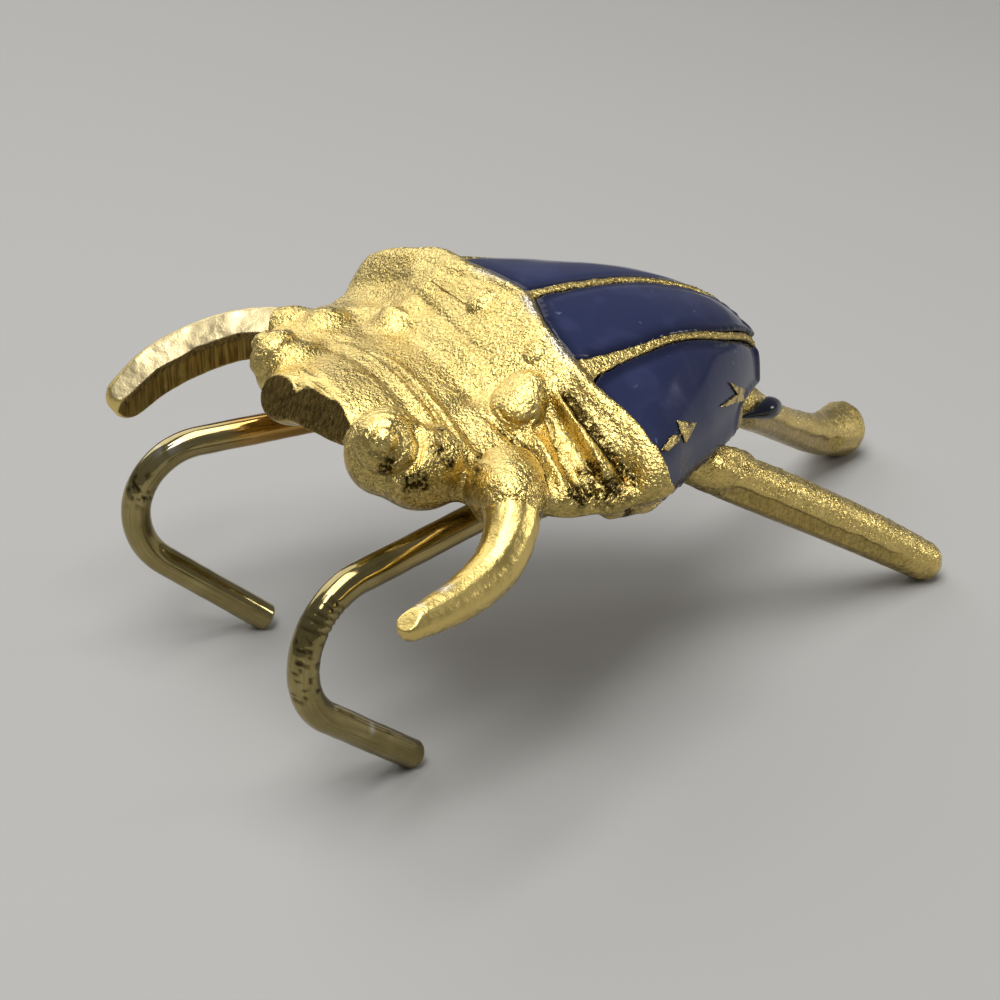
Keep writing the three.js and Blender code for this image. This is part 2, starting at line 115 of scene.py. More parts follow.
# How far the lip is drawn forwards and its far end lifted, and where the plate is worn off it.
LIP_DRAW = 0.6
FAR_LIFT = 0.8
LIP_WORN_Y = -0.8

# Straight slopes of the shield, under the near boss and up to the lip: y from and to, then x where it fades.
SLOPES = (
    ((-13.5, -6.2), (6.0, 8.5, 12.0, 14.0)),
    ((-8.0, -2.6), (-16.5, -12.5, 10.0, 13.0)),
)

# Places that are smoothed once more, the far boss and the foot of the near one: x, y, reach and rounds.
MELTS = ((-10.0, -9.2, 3.2, 120), (10.0, -8.0, 4.4, 60))

# Eyes: a dome with fine rings, a round pupil on top and a groove round its foot.
EYES = ((11.1, -22.3, 31.4), (-12.5, -21.6, 31.5))
EYE_RING_SPACING = 0.75
EYE_RING_HEIGHT = 0.05
EYE_REACH = 2.8
EYE_RISE = 0.75
EYE_RING_GROOVE = 0.35
EYE_PUPIL = 0.95
EYE_PUPIL_RISE = 0.5

# A scoop in the top of the head behind the ground face: middle, half width, depth, and y at back and front.
HEAD_SCOOP = (-1.0, 2.4, 0.9, -20.6, -23.6)

# Metal that joins the snout to the right eye lobe: centre and half sizes.
HEAD_BRIDGE = ((-5.4, -22.2, 29.0), (3.3, 3.4, 2.5))

# Rubbed places, and places where the casting is darker: x, y, z and reach.
RUBBED = (
    (11.1, -22.3, 31.4, 2.6), (10.6, -8.6, 33.6, 1.8), (-10.0, -9.2, 33.6, 1.6), (-1.5, -22.4, 31.6, 2.4),
    (6.9, -12.0, 30.4, 2.2), (17.6, -10.6, 28.0, 1.8),
)
DARK_SPOTS = (
    (11.6, -22.7, 29.5, 1.4), (11.4, -10.6, 30.2, 0.9), (8.3, 18.9, 22.4, 1.0), (11.3, -16.1, 30.7, 0.9),
    (13.3, -14.2, 28.3, 1.4), (14.7, -14.2, 27.5, 1.4), (14.0, -10.2, 28.0, 1.3), (19.4, -6.4, 25.8, 1.6),
    (13.5, -18.1, 30.3, 1.3), (14.0, -16.9, 29.2, 1.3), (14.0, -21.0, 27.9, 1.6), (16.2, -16.2, 28.6, 1.0),
    (18.2, -5.6, 26.9, 1.6), (19.5, -7.5, 26.0, 1.8), (20.6, -4.9, 26.0, 1.6),
)

# The thin tail end is drawn in: where it starts, the share that is left, and how far its low edge goes.
TAIL_END_Y = 25.1
TAIL_LEFT = 0.35
TAIL_TUCK = 2.0

# The flat face ground across the front of the head: a point of it, the way it faces, its ends and its depth.
HEAD_FACE_POINT = (-1.5, -24.9, 27.55)
HEAD_FACE_NORMAL = (0.12, -0.885, 0.45)
HEAD_FACE_X = (-8.8, 5.2)
HEAD_FACE_SINK = 0.25

# Centre lines of the legs, from root to tip.
LEG_LINES = {
    "front_leg_left": (
        (15.5, -12.6, 27.2), (18.9, -14.2, 27.2), (22.0, -16.5, 25.2), (23.6, -18.9, 23.8),
        (24.8, -22.0, 23.1), (25.8, -25.4, 22.9), (26.7, -29.0, 22.9)),
    "front_leg_right": (
        (-15.5, -13.2, 27.6), (-19.0, -15.2, 28.4), (-22.6, -18.9, 27.9), (-25.0, -22.9, 26.4),
        (-26.2, -26.8, 24.6), (-26.6, -30.0, 22.4)),
    "rear_leg_left": (
        (8.6, 8.6, 21.2), (10.3, 14.2, 18.2), (11.1, 19.5, 15.1), (12.0, 26.7, 10.65),
        (13.0, 34.4, 5.7), (13.8, 40.0, 1.9)),
    "rear_leg_right": (
        (1.2, 18.8, 22.4), (0.6, 22.6, 20.1), (-0.5, 26.6, 17.05), (-2.6, 30.7, 14.4),
        (-5.5, 35.7, 11.0), (-10.2, 45.3, 5.2), (-13.2, 51.2, 3.0)),
}

# How finely a leg's centre line is divided, and how often it is smoothed.
LEG_LINE_POINTS = 160
LEG_LINE_ROUNDS = 12

# How far from its start each front leg's root is buried in a fillet of the casting.
WELD_LENGTH = {"front_leg_left": 6.6, "front_leg_right": 6.2}

# Where each rear leg's root swells out from under the wing cases: from and to, along the leg.
ROOT_SWELL = {"rear_leg_left": (5.8, 9.0), "rear_leg_right": (4.5, 11.0)}

# How far the smooth lower flank of each rear leg lies from the centre line.
REAR_FLANK = {"rear_leg_left": 1.8, "rear_leg_right": 1.5}

# The facet along the top of the right front leg, turned to the key lamp and painted pale as a highlight: the
# way it faces, and how far from the centre line.
TOP_FACET_WAY = (0.54, -0.21, 0.815)
TOP_FACET_OUT = 1.8

# Torn flakes of gold that lie over the near enamel, as corners of their outlines.
LEAVES = {
    "leaf_wing": (
        (15.3, 5.9, 27.7), (14.0, 9.1, 26.1), (15.6, 6.8, 25.4), (15.9, 6.1, 26.4)),
    "leaf_edge": (
        (15.8, 5.9, 26.6), (16.3, 5.4, 26.2), (17.6, 3.3, 26.3), (18.2, 2.2, 26.9), (16.6, 4.5, 27.1)),
    "leaf_tail_upper": (
        (9.4, 16.6, 26.6), (8.5, 18.6, 25.2), (7.2, 20.4, 24.0), (7.7, 19.9, 23.4), (8.4, 18.4, 24.3)),
    "leaf_tail_lower": (
        (11.2, 14.2, 25.3), (9.2, 17.4, 24.8), (7.4, 20.0, 24.0), (7.6, 19.8, 23.0), (9.0, 17.6, 24.0)),
}
LEAF_FILL = "fill_left_outer"
LEAF_THICKNESS = 0.16
LEAF_LIFT = 0.13
LEAF_TEAR = 0.16

# How far the drip is moved from its place in the frame.
DRIP_SHIFT = (1.2, -0.9, 0.7)

# Enamel: the band of its meniscus from the wall inwards, its crown, its push onto the walls, its run and sag.
MENISCUS = (0.3, 0.9)
FILL_CROWN = 0.17
FILL_PUSH = 0.26
RIM_RUN = 0.32
RIM_SAG = 0.7

# How glossy the fills and the drip are.
FILL_GLOSS = 0.22
DRIP_GLOSS = 0.5

# Height of the grain of the front legs and of the rear legs.
FRONT_LEG_GRAIN = 0.03
REAR_LEG_GRAIN = 0.06

# Wire feet: a shank that rises to the back, one hook and a straight toe, as the frame has them.
WIRE_BEND_START = (15.5, -27.2, 21.68)
WIRE_BEND_RADIUS = 7.0
WIRE_BEND_DEG = 139.0
WIRE_RISE_DEG = 2.5
WIRE_SHANK = 33.0
WIRE_TOE = 12.9
WIRE_TOE_IN_DEG = 12.0
WIRE_SIDES = 28
WIRE_RING_STEP = 0.2

# Marks along each wire, from the start of its bend: crimps, pits, worn spots with half lengths, coppery run.
WIRE_CRIMPS = (3.5, 4.1, 4.8, 5.4, 6.2)
WIRE_PITS = {"left": (7.0, 12.5), "right": (5.6, 9.0)}
WIRE_WORN = {"left": ((21.5, 0.4),), "right": ((3.2, 1.1),)}
WIRE_WARM_RUN = (-13.0, -3.0)
WIRE_WARM = {"left": 0.08, "right": 0.4}

# Nodes of the frame that are dressed alike.
ENAMEL_NODES = ("enamel_left_outer", "enamel_left_inner", "enamel_right_outer", "enamel_right_inner")
SOLDER_NODES = ("solder_left_front", "solder_left_rear", "solder_right_front", "solder_right_rear")

# Camera of the photograph, in millimetres of the frame.
CAMERA_PLACE = (163.9, -117.32, 118.3)
CAMERA_TARGET = (-5.3, -9.4, 12.0)
CAMERA_LENS = 81.76

# Side of the square floor, in metres.
FLOOR_SIZE = 4.0

# Softboxes: place, target and size in millimetres.
LAMPS = {
    "key": ((20, -50, 430), (0, 0, 20), 300),
    "side": ((-400, -20, 300), (0, 0, 20), 420),
    "front": ((140, -200, 400), (0, 0, 20), 110),
    "back": ((185, 411, 143), (0, 20, 10), 120),
}


def linear(hex_colour):
    """Linear colour of an sRGB hex value."""
    values = [int(hex_colour[i:i + 2], 16) / 255 for i in (1, 3, 5)]
    return tuple(v / 12.92 if v <= 0.04045 else ((v + 0.055) / 1.055) ** 2.4 for v in values)


def smoothstep(low, high, values):
    """A soft step from 0 at low to 1 at high."""
    part = np.clip((values - low) / (high - low), 0, 1)
    return part * part * (3 - 2 * part)


# Mesh helpers

def select_only(*pieces):
    """Select these pieces and nothing else, the first one active."""
    bpy.ops.object.select_all(action="DESELECT")
    for piece in pieces:
        piece.select_set(True)
    bpy.context.view_layer.objects.active = pieces[0]


def copy_of(node, name):
    """A merged copy of a CAD node's mesh, as a new object."""
    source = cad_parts[node]
    piece = bpy.data.objects.new(name, source.data.copy())
    piece.data.name = name
    piece.data.materials.clear()
    bpy.context.scene.collection.objects.link(piece)
    select_only(piece)
    bpy.ops.object.mode_set(mode="EDIT")
    bpy.ops.mesh.select_all(action="SELECT")
    bpy.ops.mesh.remove_doubles(threshold=MERGE_GAP * MM)
    bpy.ops.object.mode_set(mode="OBJECT")
    return piece


def apply_modifier(piece, kind, **settings):
    """Add a modifier with its settings and apply it."""
    select_only(piece)
    modifier = piece.modifiers.new(kind.lower(), kind)
    for setting, value in settings.items():
        setattr(modifier, setting, value)
    bpy.ops.object.modifier_apply(modifier=modifier.name)


def remesh(piece, voxel):
    """Make a piece anew of even facets."""
    apply_modifier(piece, "REMESH", mode="VOXEL", voxel_size=voxel * MM)


def smooth(piece, rounds, weight=None):
    """Smooth a piece, all over or as strongly at each vertex as its weight says."""
    settings = {"factor": 0.5, "iterations": rounds}
    if weight is not None:
        group = piece.vertex_groups.new(name="soft")
        for level in np.unique(weight):
            group.add(np.flatnonzero(weight == level).tolist(), float(level), "REPLACE")
        settings["vertex_group"] = group.name
    apply_modifier(piece, "SMOOTH", **settings)
    piece.vertex_groups.clear()


def in_frame(places):
    """Places on the figure, in metres of the frame."""
    return (np.asarray(places) + (0, SHIELD_EDGE_Y, 0)) * MM


def points_of(piece):
    """Vertex places in millimetres, y counted from the shield's back edge."""
    flat = np.empty(len(piece.data.vertices) * 3)
    piece.data.vertices.foreach_get("co", flat)
    return flat.reshape(-1, 3) / MM - (0, SHIELD_EDGE_Y, 0)


def move_points(piece, points):
    """Put the vertices at these places."""
    piece.data.vertices.foreach_set("co", in_frame(points).ravel())
    piece.data.update()


def normals_of(piece):
    """Vertex normals."""
    flat = np.empty(len(piece.data.vertices) * 3)
    piece.data.vertex_normals.foreach_get("vector", flat)
    return flat.reshape(-1, 3)


def bumps(points, size, seed=0.0):
    """Smooth random bumps between -1 and 1, about one for each size in millimetres."""
    shift = Vector((seed, seed * 1.7, -seed))
    return np.array([noise.noise(Vector(p) / size + shift) for p in points])


def neighbour_mean(piece, values):
    """Mean of each vertex's neighbours."""
    edges = np.empty(len(piece.data.edges) * 2, dtype=np.int64)
    piece.data.edges.foreach_get("vertices", edges)
    ends = np.concatenate((edges[0::2], edges[1::2]))
    others = np.concatenate((edges[1::2], edges[0::2]))
    count = np.maximum(np.bincount(ends, minlength=len(values)), 1)
    columns = values.reshape(len(values), -1).T
    sums = [np.bincount(ends, weights=column[others], minlength=len(values)) / count for column in columns]
    return np.stack(sums, axis=1).reshape(values.shape)


def blur(piece, values, rounds):
    """Spread values over the neighbours of each vertex."""
    for _ in range(rounds):
        values = neighbour_mean(piece, values)
    return values


def hollows(piece, spread):
    """How deep each vertex lies in a groove (positive) or on a crest (negative), in millimetres."""
    points = points_of(piece)
    depth = ((blur(piece, points, spread) - points) * normals_of(piece)).sum(axis=1)
    return neighbour_mean(piece, depth)


def keep_value(piece, name, values):
    """Store a value for each vertex that a material reads."""
    attribute = piece.data.attributes.new(name, "FLOAT", "POINT")
    attribute.data.foreach_set("value", np.asarray(values, dtype=np.float32))


def finish_piece(piece, material, slot, *nodes):
    """Give a finished piece its material and its place in the frame."""
    select_only(piece)
    bpy.ops.object.shade_smooth()
    piece.data.materials.clear()
    piece.data.materials.append(material)
    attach(piece, "root")
    if nodes:
        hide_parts(*nodes)


# Material helpers

def add_node(tree, kind, inputs=None, **settings):
    """Add a node with its settings, and set or link its inputs."""
    node = tree.nodes.new(kind)
    for setting, value in settings.items():
        setattr(node, setting, value)
    for socket, value in (inputs or {}).items():
        if isinstance(value, bpy.types.NodeSocket):
            tree.links.new(value, node.inputs[socket])
        else:
            node.inputs[socket].default_value = value
    return node


def new_material(name):
    """An empty node material and its tree."""
    material = bpy.data.materials.new(name)
    material.use_nodes = True
    material.node_tree.nodes.clear()
    return material, material.node_tree


def close_material(tree, inputs):
    """The shader and the output of a material."""
    shader = add_node(tree, "ShaderNodeBsdfPrincipled", inputs)
    add_node(tree, "ShaderNodeOutputMaterial", {"Surface": shader.outputs["BSDF"]})


def opaque(colour):
    """A colour as a socket takes it."""
    return (*colour[:3], 1.0)


def gold_over(name, finish, wrinkle_mm, wrinkle_depth_mm, roughness_range):
    """Gold plate over brass: blotchy tone, patina and painted shade in hollows and on shaded faces, worn
    silver (also a painted highlight on one leg), ground flats, wrinkled grain.
    """
    material, tree = new_material(name)
    place = add_node(tree, "ShaderNodeTexCoord").outputs["Object"]
    blotch = add_node(tree, "ShaderNodeTexNoise", {"Vector": place, "Scale": 1 / (5 * MM), "Detail": 3.0})
    tone = add_node(tree, "ShaderNodeMix", {
        "Factor": blotch.outputs["Fac"], "A": opaque(finish.gold_deep), "B": opaque(finish.gold_pale),
    }, data_type="RGBA")
    # Patina and painted shade: a dark tone and a coppery tone mixed in where the mesh is darkened.
    recess = add_node(tree, "ShaderNodeAttribute", attribute_name="recess")
    spots = add_node(tree, "ShaderNodeTexNoise", {"Vector": place, "Scale": 1 / (2.2 * MM), "Detail": 2.0})
    copper = add_node(tree, "ShaderNodeMapRange", {
        "Value": spots.outputs["Fac"], "From Min": 0.66, "From Max": 0.74, "To Min": 0.0, "To Max": 1.0,
    })
    patina_and_shade_tone = add_node(tree, "ShaderNodeMix", {
        "Factor": copper.outputs["Result"],
        "A": opaque(finish.patina_and_shade_dark), "B": opaque(finish.recess_orange),
    }, data_type="RGBA")
    wrinkle = add_node(tree, "ShaderNodeTexNoise", {
        "Vector": place, "Scale": 1 / (wrinkle_mm * MM), "Detail": 2.0, "Roughness": 0.55, "Distortion": 0.8,
    })
    # Patina and painted shade are kept to the pits of the grain and thinned on its crests.
    held = add_node(tree, "ShaderNodeMapRange", {
        "Value": wrinkle.outputs["Fac"], "From Min": 0.40, "From Max": 0.62, "To Min": 1.0, "To Max": 0.3,
    })
    patina_and_shade_cover = add_node(tree, "ShaderNodeMath", {
        0: recess.outputs["Fac"], 1: held.outputs["Result"],
    }, operation="MULTIPLY")
    # Grinding marks stand upright, about 0.25 mm apart and 4 mm long.
    upright = add_node(tree, "ShaderNodeMapping", {
        "Vector": place, "Scale": (1 / (0.25 * MM), 1 / (0.25 * MM), 1 / (4 * MM)),
    })
    marks = add_node(tree, "ShaderNodeTexNoise", {
        "Vector": upright.outputs["Vector"], "Scale": 1.0, "Detail": 2.0,
    })
    scratches = add_node(tree, "ShaderNodeMapRange", {
        "Value": marks.outputs["Fac"], "From Min": 0.25, "From Max": 0.75, "To Min": 0.0, "To Max": 1.0,
    })
    flat = add_node(tree, "ShaderNodeMix", {
        "Factor": scratches.outputs["Result"],
        "A": opaque(finish.ground_dark), "B": opaque(finish.ground_pale),
    }, data_type="RGBA")
    ground = add_node(tree, "ShaderNodeAttribute", attribute_name="ground")
    worn = add_node(tree, "ShaderNodeAttribute", attribute_name="worn")
    colour = tone
    for cover, layer in (
            (patina_and_shade_cover.outputs["Value"], patina_and_shade_tone.outputs["Result"]),
            (ground.outputs["Fac"], flat.outputs["Result"]),
            (worn.outputs["Fac"], opaque(finish.worn_silver))):
        colour = add_node(tree, "ShaderNodeMix", {
            "Factor": cover, "A": colour.outputs["Result"], "B": layer,
        }, data_type="RGBA")
    grit = add_node(tree, "ShaderNodeTexVoronoi", {"Vector": place, "Scale": 1 / (0.25 * MM)})
    grit_bump = add_node(tree, "ShaderNodeBump", {
        "Height": grit.outputs["Distance"], "Strength": 0.35, "Distance": wrinkle_depth_mm * 0.5 * MM,
    })
    polish = add_node(tree, "ShaderNodeAttribute", attribute_name="polish")
    strength = add_node(tree, "ShaderNodeMapRange", {
        "Value": polish.outputs["Fac"], "From Min": 0.0, "From Max": 1.0, "To Min": 1.0, "To Max": 0.1,
    })
    bump = add_node(tree, "ShaderNodeBump", {
        "Height": wrinkle.outputs["Fac"], "Strength": strength.outputs["Result"],
        "Distance": wrinkle_depth_mm * MM, "Normal": grit_bump.outputs["Normal"],
    })
    scored = add_node(tree, "ShaderNodeBump", {
        "Height": marks.outputs["Fac"], "Strength": ground.outputs["Fac"], "Distance": 0.08 * MM,
        "Normal": bump.outputs["Normal"],
    })
    patches = add_node(tree, "ShaderNodeTexNoise", {"Vector": place, "Scale": 1 / (2.5 * MM), "Detail": 2.0})
    roughness = add_node(tree, "ShaderNodeMapRange", {
        "Value": patches.outputs["Fac"], "From Min": 0.3, "From Max": 0.7,
        "To Min": roughness_range[0], "To Max": roughness_range[1],
    })
    close_material(tree, {
        "Base Color": colour.outputs["Result"], "Metallic": 1.0,
        "Roughness": roughness.outputs["Result"], "Normal": scored.outputs["Normal"],
    })
    return material


def cast_gold(finish):
    """Gold plate on an as-cast skin: a wrinkled sparkle all over, smooth only on crests."""
    return bpy.data.materials.get("gold plate on sand cast brass") or gold_over(
        "gold plate on sand cast brass", finish,
        wrinkle_mm=0.42, wrinkle_depth_mm=0.20, roughness_range=(0.18, 0.34))


def filed_gold(finish):
    """Gold plate on filed and tumbled legs: a soft brushed shine with only faint grain."""
    return bpy.data.materials.get("gold plate on filed brass") or gold_over(
        "gold plate on filed brass", finish,
        wrinkle_mm=0.6, wrinkle_depth_mm=0.05, roughness_range=(0.28, 0.42))


def drawn_wire_gold(finish):
    """Gold plate on drawn wire: fine lines along the wire, scuffs, and dark pits."""
    material, tree = new_material("gold plate on drawn brass wire")
    place = add_node(tree, "ShaderNodeTexCoord").outputs["Object"]
    run = add_node(tree, "ShaderNodeAttribute", attribute_name="run")
    turn = add_node(tree, "ShaderNodeAttribute", attribute_name="turn")
    unrolled = add_node(tree, "ShaderNodeCombineXYZ", {"X": run.outputs["Fac"], "Y": turn.outputs["Fac"]})
    # Drawing lines are about 0.15 mm apart and run for about 6 mm.
    stretch = add_node(tree, "ShaderNodeMapping", {
        "Vector": unrolled.outputs["Vector"], "Scale": (1 / 6.0, 1 / 0.15, 1.0),
    })
    lines = add_node(tree, "ShaderNodeTexNoise", {
        "Vector": stretch.outputs["Vector"], "Scale": 1.0, "Detail": 2.0,
    })
    blotch = add_node(tree, "ShaderNodeTexNoise", {"Vector": place, "Scale": 1 / (4 * MM), "Detail": 3.0})
    tone = add_node(tree, "ShaderNodeMix", {
        "Factor": blotch.outputs["Fac"], "A": opaque(finish.wire_deep), "B": opaque(finish.wire_pale),
    }, data_type="RGBA")
    # Darkening from the mesh: painted shade in the crimps, and darker pits.
    recess = add_node(tree, "ShaderNodeAttribute", attribute_name="recess")
    warm = add_node(tree, "ShaderNodeAttribute", attribute_name="warm")
    worn = add_node(tree, "ShaderNodeAttribute", attribute_name="worn")
    colour = tone
    for cover, layer in (
            (lines, finish.wire_deep), (recess, finish.patina_and_shade_dark),
            (warm, finish.recess_orange), (worn, finish.worn_silver)):
        colour = add_node(tree, "ShaderNodeMix", {
            "Factor": cover.outputs["Fac"], "A": colour.outputs["Result"], "B": opaque(layer),
        }, data_type="RGBA")
    bump = add_node(tree, "ShaderNodeBump", {
        "Height": lines.outputs["Fac"], "Strength": 0.5, "Distance": 0.01 * MM,
    })
    scuffs = add_node(tree, "ShaderNodeTexNoise", {"Vector": place, "Scale": 1 / (1.2 * MM), "Detail": 4.0})
    roughness = add_node(tree, "ShaderNodeMapRange", {
        "Value": scuffs.outputs["Fac"], "From Min": 0.3, "From Max": 0.7, "To Min": 0.07, "To Max": 0.18,
    })
    close_material(tree, {
        "Base Color": colour.outputs["Result"], "Metallic": 1.0,
        "Roughness": roughness.outputs["Result"], "Normal": bump.outputs["Normal"],
    })
    return material


def cold_enamel(name, body, cloud, edge, chalk_colour, gloss):
    """Poured enamel: deep glossy colour, cloudy with chalky flecks, darker where it is thick at the edges."""
    material, tree = new_material(name)
    place = add_node(tree, "ShaderNodeTexCoord").outputs["Object"]
    drift = add_node(tree, "ShaderNodeTexNoise", {
        "Vector": place, "Scale": 1 / (4 * MM), "Detail": 3.0, "Distortion": 0.6,
    })
    cloudy = add_node(tree, "ShaderNodeMapRange", {
        "Value": drift.outputs["Fac"], "From Min": 0.5, "From Max": 0.8, "To Min": 0.0, "To Max": 0.8,
    })
    flecks = add_node(tree, "ShaderNodeTexNoise", {"Vector": place, "Scale": 1 / (1.6 * MM), "Detail": 3.0})
    chalk = add_node(tree, "ShaderNodeMapRange", {
        "Value": flecks.outputs["Fac"], "From Min": 0.68, "From Max": 0.76, "To Min": 0.0, "To Max": 0.8,
    })
    rim = add_node(tree, "ShaderNodeAttribute", attribute_name="rim")
    colour = opaque(body)
    for cover, layer in (
            (cloudy.outputs["Result"], cloud),
            (chalk.outputs["Result"], chalk_colour),
            (rim.outputs["Fac"], edge)):
        mix = add_node(tree, "ShaderNodeMix", {
            "Factor": cover, "A": colour, "B": opaque(layer),
        }, data_type="RGBA")
        colour = mix.outputs["Result"]
    ripple = add_node(tree, "ShaderNodeTexNoise", {"Vector": place, "Scale": 1 / (3 * MM), "Detail": 2.0})
    bump = add_node(tree, "ShaderNodeBump", {
        "Height": ripple.outputs["Fac"], "Strength": 0.3, "Distance": 0.02 * MM,
    })
    haze = add_node(tree, "ShaderNodeMapRange", {
        "Value": drift.outputs["Fac"], "From Min": 0.35, "From Max": 0.7, "To Min": 0.08, "To Max": 0.22,
    })
    close_material(tree, {
        "Base Color": colour, "Roughness": haze.outputs["Result"],
        "IOR": 1.53, "Specular IOR Level": gloss, "Normal": bump.outputs["Normal"],
    })
    return material


def flowed_solder(finish):
    """Flowed solder under the plating: greyer than the gold, soft, with shallow flow marks."""
    material, tree = new_material("plated silver solder")
    place = add_node(tree, "ShaderNodeTexCoord").outputs["Object"]
    flow = add_node(tree, "ShaderNodeTexNoise", {"Vector": place, "Scale": 1 / (1.4 * MM), "Detail": 3.0})
    colour = add_node(tree, "ShaderNodeMix", {
        "Factor": flow.outputs["Fac"], "A": opaque(finish.wire_deep), "B": opaque(finish.worn_silver),
    }, data_type="RGBA")
    bump = add_node(tree, "ShaderNodeBump", {
        "Height": flow.outputs["Fac"], "Strength": 0.6, "Distance": 0.08 * MM,
    })
    close_material(tree, {
        "Base Color": colour.outputs["Result"], "Metallic": 1.0, "Roughness": 0.38,
        "Normal": bump.outputs["Normal"],
    })
    return material


# Settings

class ScarabShape(bpy.types.PropertyGroup):
    """Sizes of the dressed pieces."""
    cast_voxel: FloatProperty(
        name="Casting Detail", description="Size of the casting's facets", default=0.24 * MM,
        min=0.1 * MM, unit="LENGTH")
    cast_grain: FloatProperty(
        name="Casting Grain", description="Height of the as-cast grain", default=0.04 * MM, unit="LENGTH")
    weld_swell: FloatProperty(
        name="Weld Swell", description="How far the fillet at each leg's root stands out", default=0.45 * MM,
        unit="LENGTH")
    cell_closing: FloatProperty(
        name="Cell Closing", description="How far the cell walls grow towards the enamel", default=0.12 * MM,
        unit="LENGTH")
    enamel_spill: FloatProperty(
        name="Enamel Spill", description="How far the enamel runs over its ragged edge", default=0.10 * MM,
        unit="LENGTH")
    wire_radius: FloatProperty(
        name="Wire Radius", description="Radius of the wire feet", default=1.43 * MM, unit="LENGTH")


class ScarabFinish(bpy.types.PropertyGroup):
    """Colours of the finishes."""
    gold_pale: FloatVectorProperty(
        name="Pale Gold", description="Gold plate where it is thick", subtype="COLOR", size=3,
        min=0, max=1, default=linear("#F0D88A"))
    gold_deep: FloatVectorProperty(
        name="Deep Gold", description="Gold plate where it is thin", subtype="COLOR", size=3,
        min=0, max=1, default=linear("#CBAE60"))
    wire_pale: FloatVectorProperty(
        name="Wire Gold", description="Gold of the wire", subtype="COLOR", size=3,
        min=0, max=1, default=linear("#E2D198"))
    wire_deep: FloatVectorProperty(
        name="Dark Wire", description="Darker gold along the wire's drawing lines", subtype="COLOR", size=3,
        min=0, max=1, default=linear("#75673A"))
    # The ground colours are darker than bare ground brass: the brown of the grinding marks, darkened further
    # as painted shade.
    ground_pale: FloatVectorProperty(
        name="Ground Metal", description="Metal between the marks of the grinding wheel", subtype="COLOR",
        size=3, min=0, max=1, default=linear("#A98F4E"))
    ground_dark: FloatVectorProperty(
        name="Grinding Marks", description="Brown of the grinding marks", subtype="COLOR", size=3,
        min=0, max=1, default=linear("#4A3813"))
    # This dark tone is patina in the grooves, and also painted shade on steep flanks, leg undersides and
    # hollows.
    patina_and_shade_dark: FloatVectorProperty(
        name="Recess", description="Tarnish in the grooves", subtype="COLOR", size=3,
        min=0, max=1, default=linear("#382C10"))
    recess_orange: FloatVectorProperty(
        name="Copper Tint", description="Copper showing in the recesses", subtype="COLOR", size=3,
        min=0, max=1, default=linear("#D8962F"))
    worn_silver: FloatVectorProperty(
        name="Worn Metal", description="Pale metal where the plate is worn off", subtype="COLOR", size=3,
        min=0, max=1, default=linear("#C9C2B2"))
    enamel_body: FloatVectorProperty(
        name="Enamel", description="Blue of the enamel", subtype="COLOR", size=3,
        min=0, max=1, default=linear("#292F4E"))
    enamel_cloud: FloatVectorProperty(
        name="Enamel Cloud", description="Paler cloud in the enamel", subtype="COLOR", size=3,
        min=0, max=1, default=linear("#373D60"))
    enamel_chalk: FloatVectorProperty(
        name="Enamel Flecks", description="Chalky flecks in the enamel", subtype="COLOR", size=3,
        min=0, max=1, default=linear("#6C7596"))
    enamel_edge: FloatVectorProperty(
        name="Enamel Edge", description="Enamel where it is thick at an edge", subtype="COLOR", size=3,
        min=0, max=1, default=linear("#10142B"))
    drip_dark: FloatVectorProperty(
        name="Drip", description="Blue-black of the drip", subtype="COLOR", size=3,
        min=0, max=1, default=linear("#0A0F1E"))


class ScarabStage(bpy.types.PropertyGroup):
    """Lamps, floor and world."""
    key_power: FloatProperty(
        name="Key Lamp", description="Power of the overhead softbox", default=1.45, unit="POWER")
    side_power: FloatProperty(
        name="Side Lamp", description="Power of the large softbox on the right side", default=0.9,
        unit="POWER")
    front_power: FloatProperty(
        name="Front Lamp", description="Power of the small softbox high before the head", default=0.3,
        unit="POWER")
    back_power: FloatProperty(
        name="Back Lamp", description="Power of the low softbox behind the tail", default=0.32,
        unit="POWER")
    world_level: FloatProperty(
        name="Surround", description="Brightness of the grey surround", default=0.2, min=0)
    floor_colour: FloatVectorProperty(
        name="Floor", description="Pale floor", subtype="COLOR", size=3,
        min=0, max=1, default=linear("#ACABA8"))


# Shaping

def leg_line(name):
    """Centre line of a leg, and how far along it each of its points lies."""
    line = np.array(LEG_LINES[name])
    steps = np.linalg.norm(np.diff(line, axis=0), axis=1)
    return line, np.concatenate(([0], np.cumsum(steps)))


def places_along(line, lengths, distances):
    """Places at these distances along a line."""
    return np.stack([np.interp(distances, lengths, line[:, i]) for i in range(3)], axis=-1)


def leg_frame(name, points):
    """For each point the distance along a leg from its root, and its offsets across and up from it."""
    line, lengths = leg_line(name)
    fine = np.linspace(0, lengths[-1], LEG_LINE_POINTS)
    curve = places_along(line, lengths, fine)
    for _ in range(LEG_LINE_ROUNDS):
        curve[1:-1] = (curve[:-2] + 2 * curve[1:-1] + curve[2:]) / 4
    nearest = np.array([np.argmin(((curve - p) ** 2).sum(axis=1)) for p in points])
    tangents = np.gradient(curve, axis=0)
    tangents /= np.linalg.norm(tangents, axis=1, keepdims=True)
    across = np.cross((0, 0, 1), tangents)
    across /= np.linalg.norm(across, axis=1, keepdims=True)
    up = np.cross(tangents, across)
    away = points - curve[nearest]
    beyond = (away * tangents[nearest]).sum(axis=1)
    return {
        "run": fine[nearest] + beyond,
        "length": lengths[-1],
        "across": (away * across[nearest]).sum(axis=1),
        "up": (away * up[nearest]).sum(axis=1),
        "across_way": across[nearest],
        "up_way": up[nearest],
    }


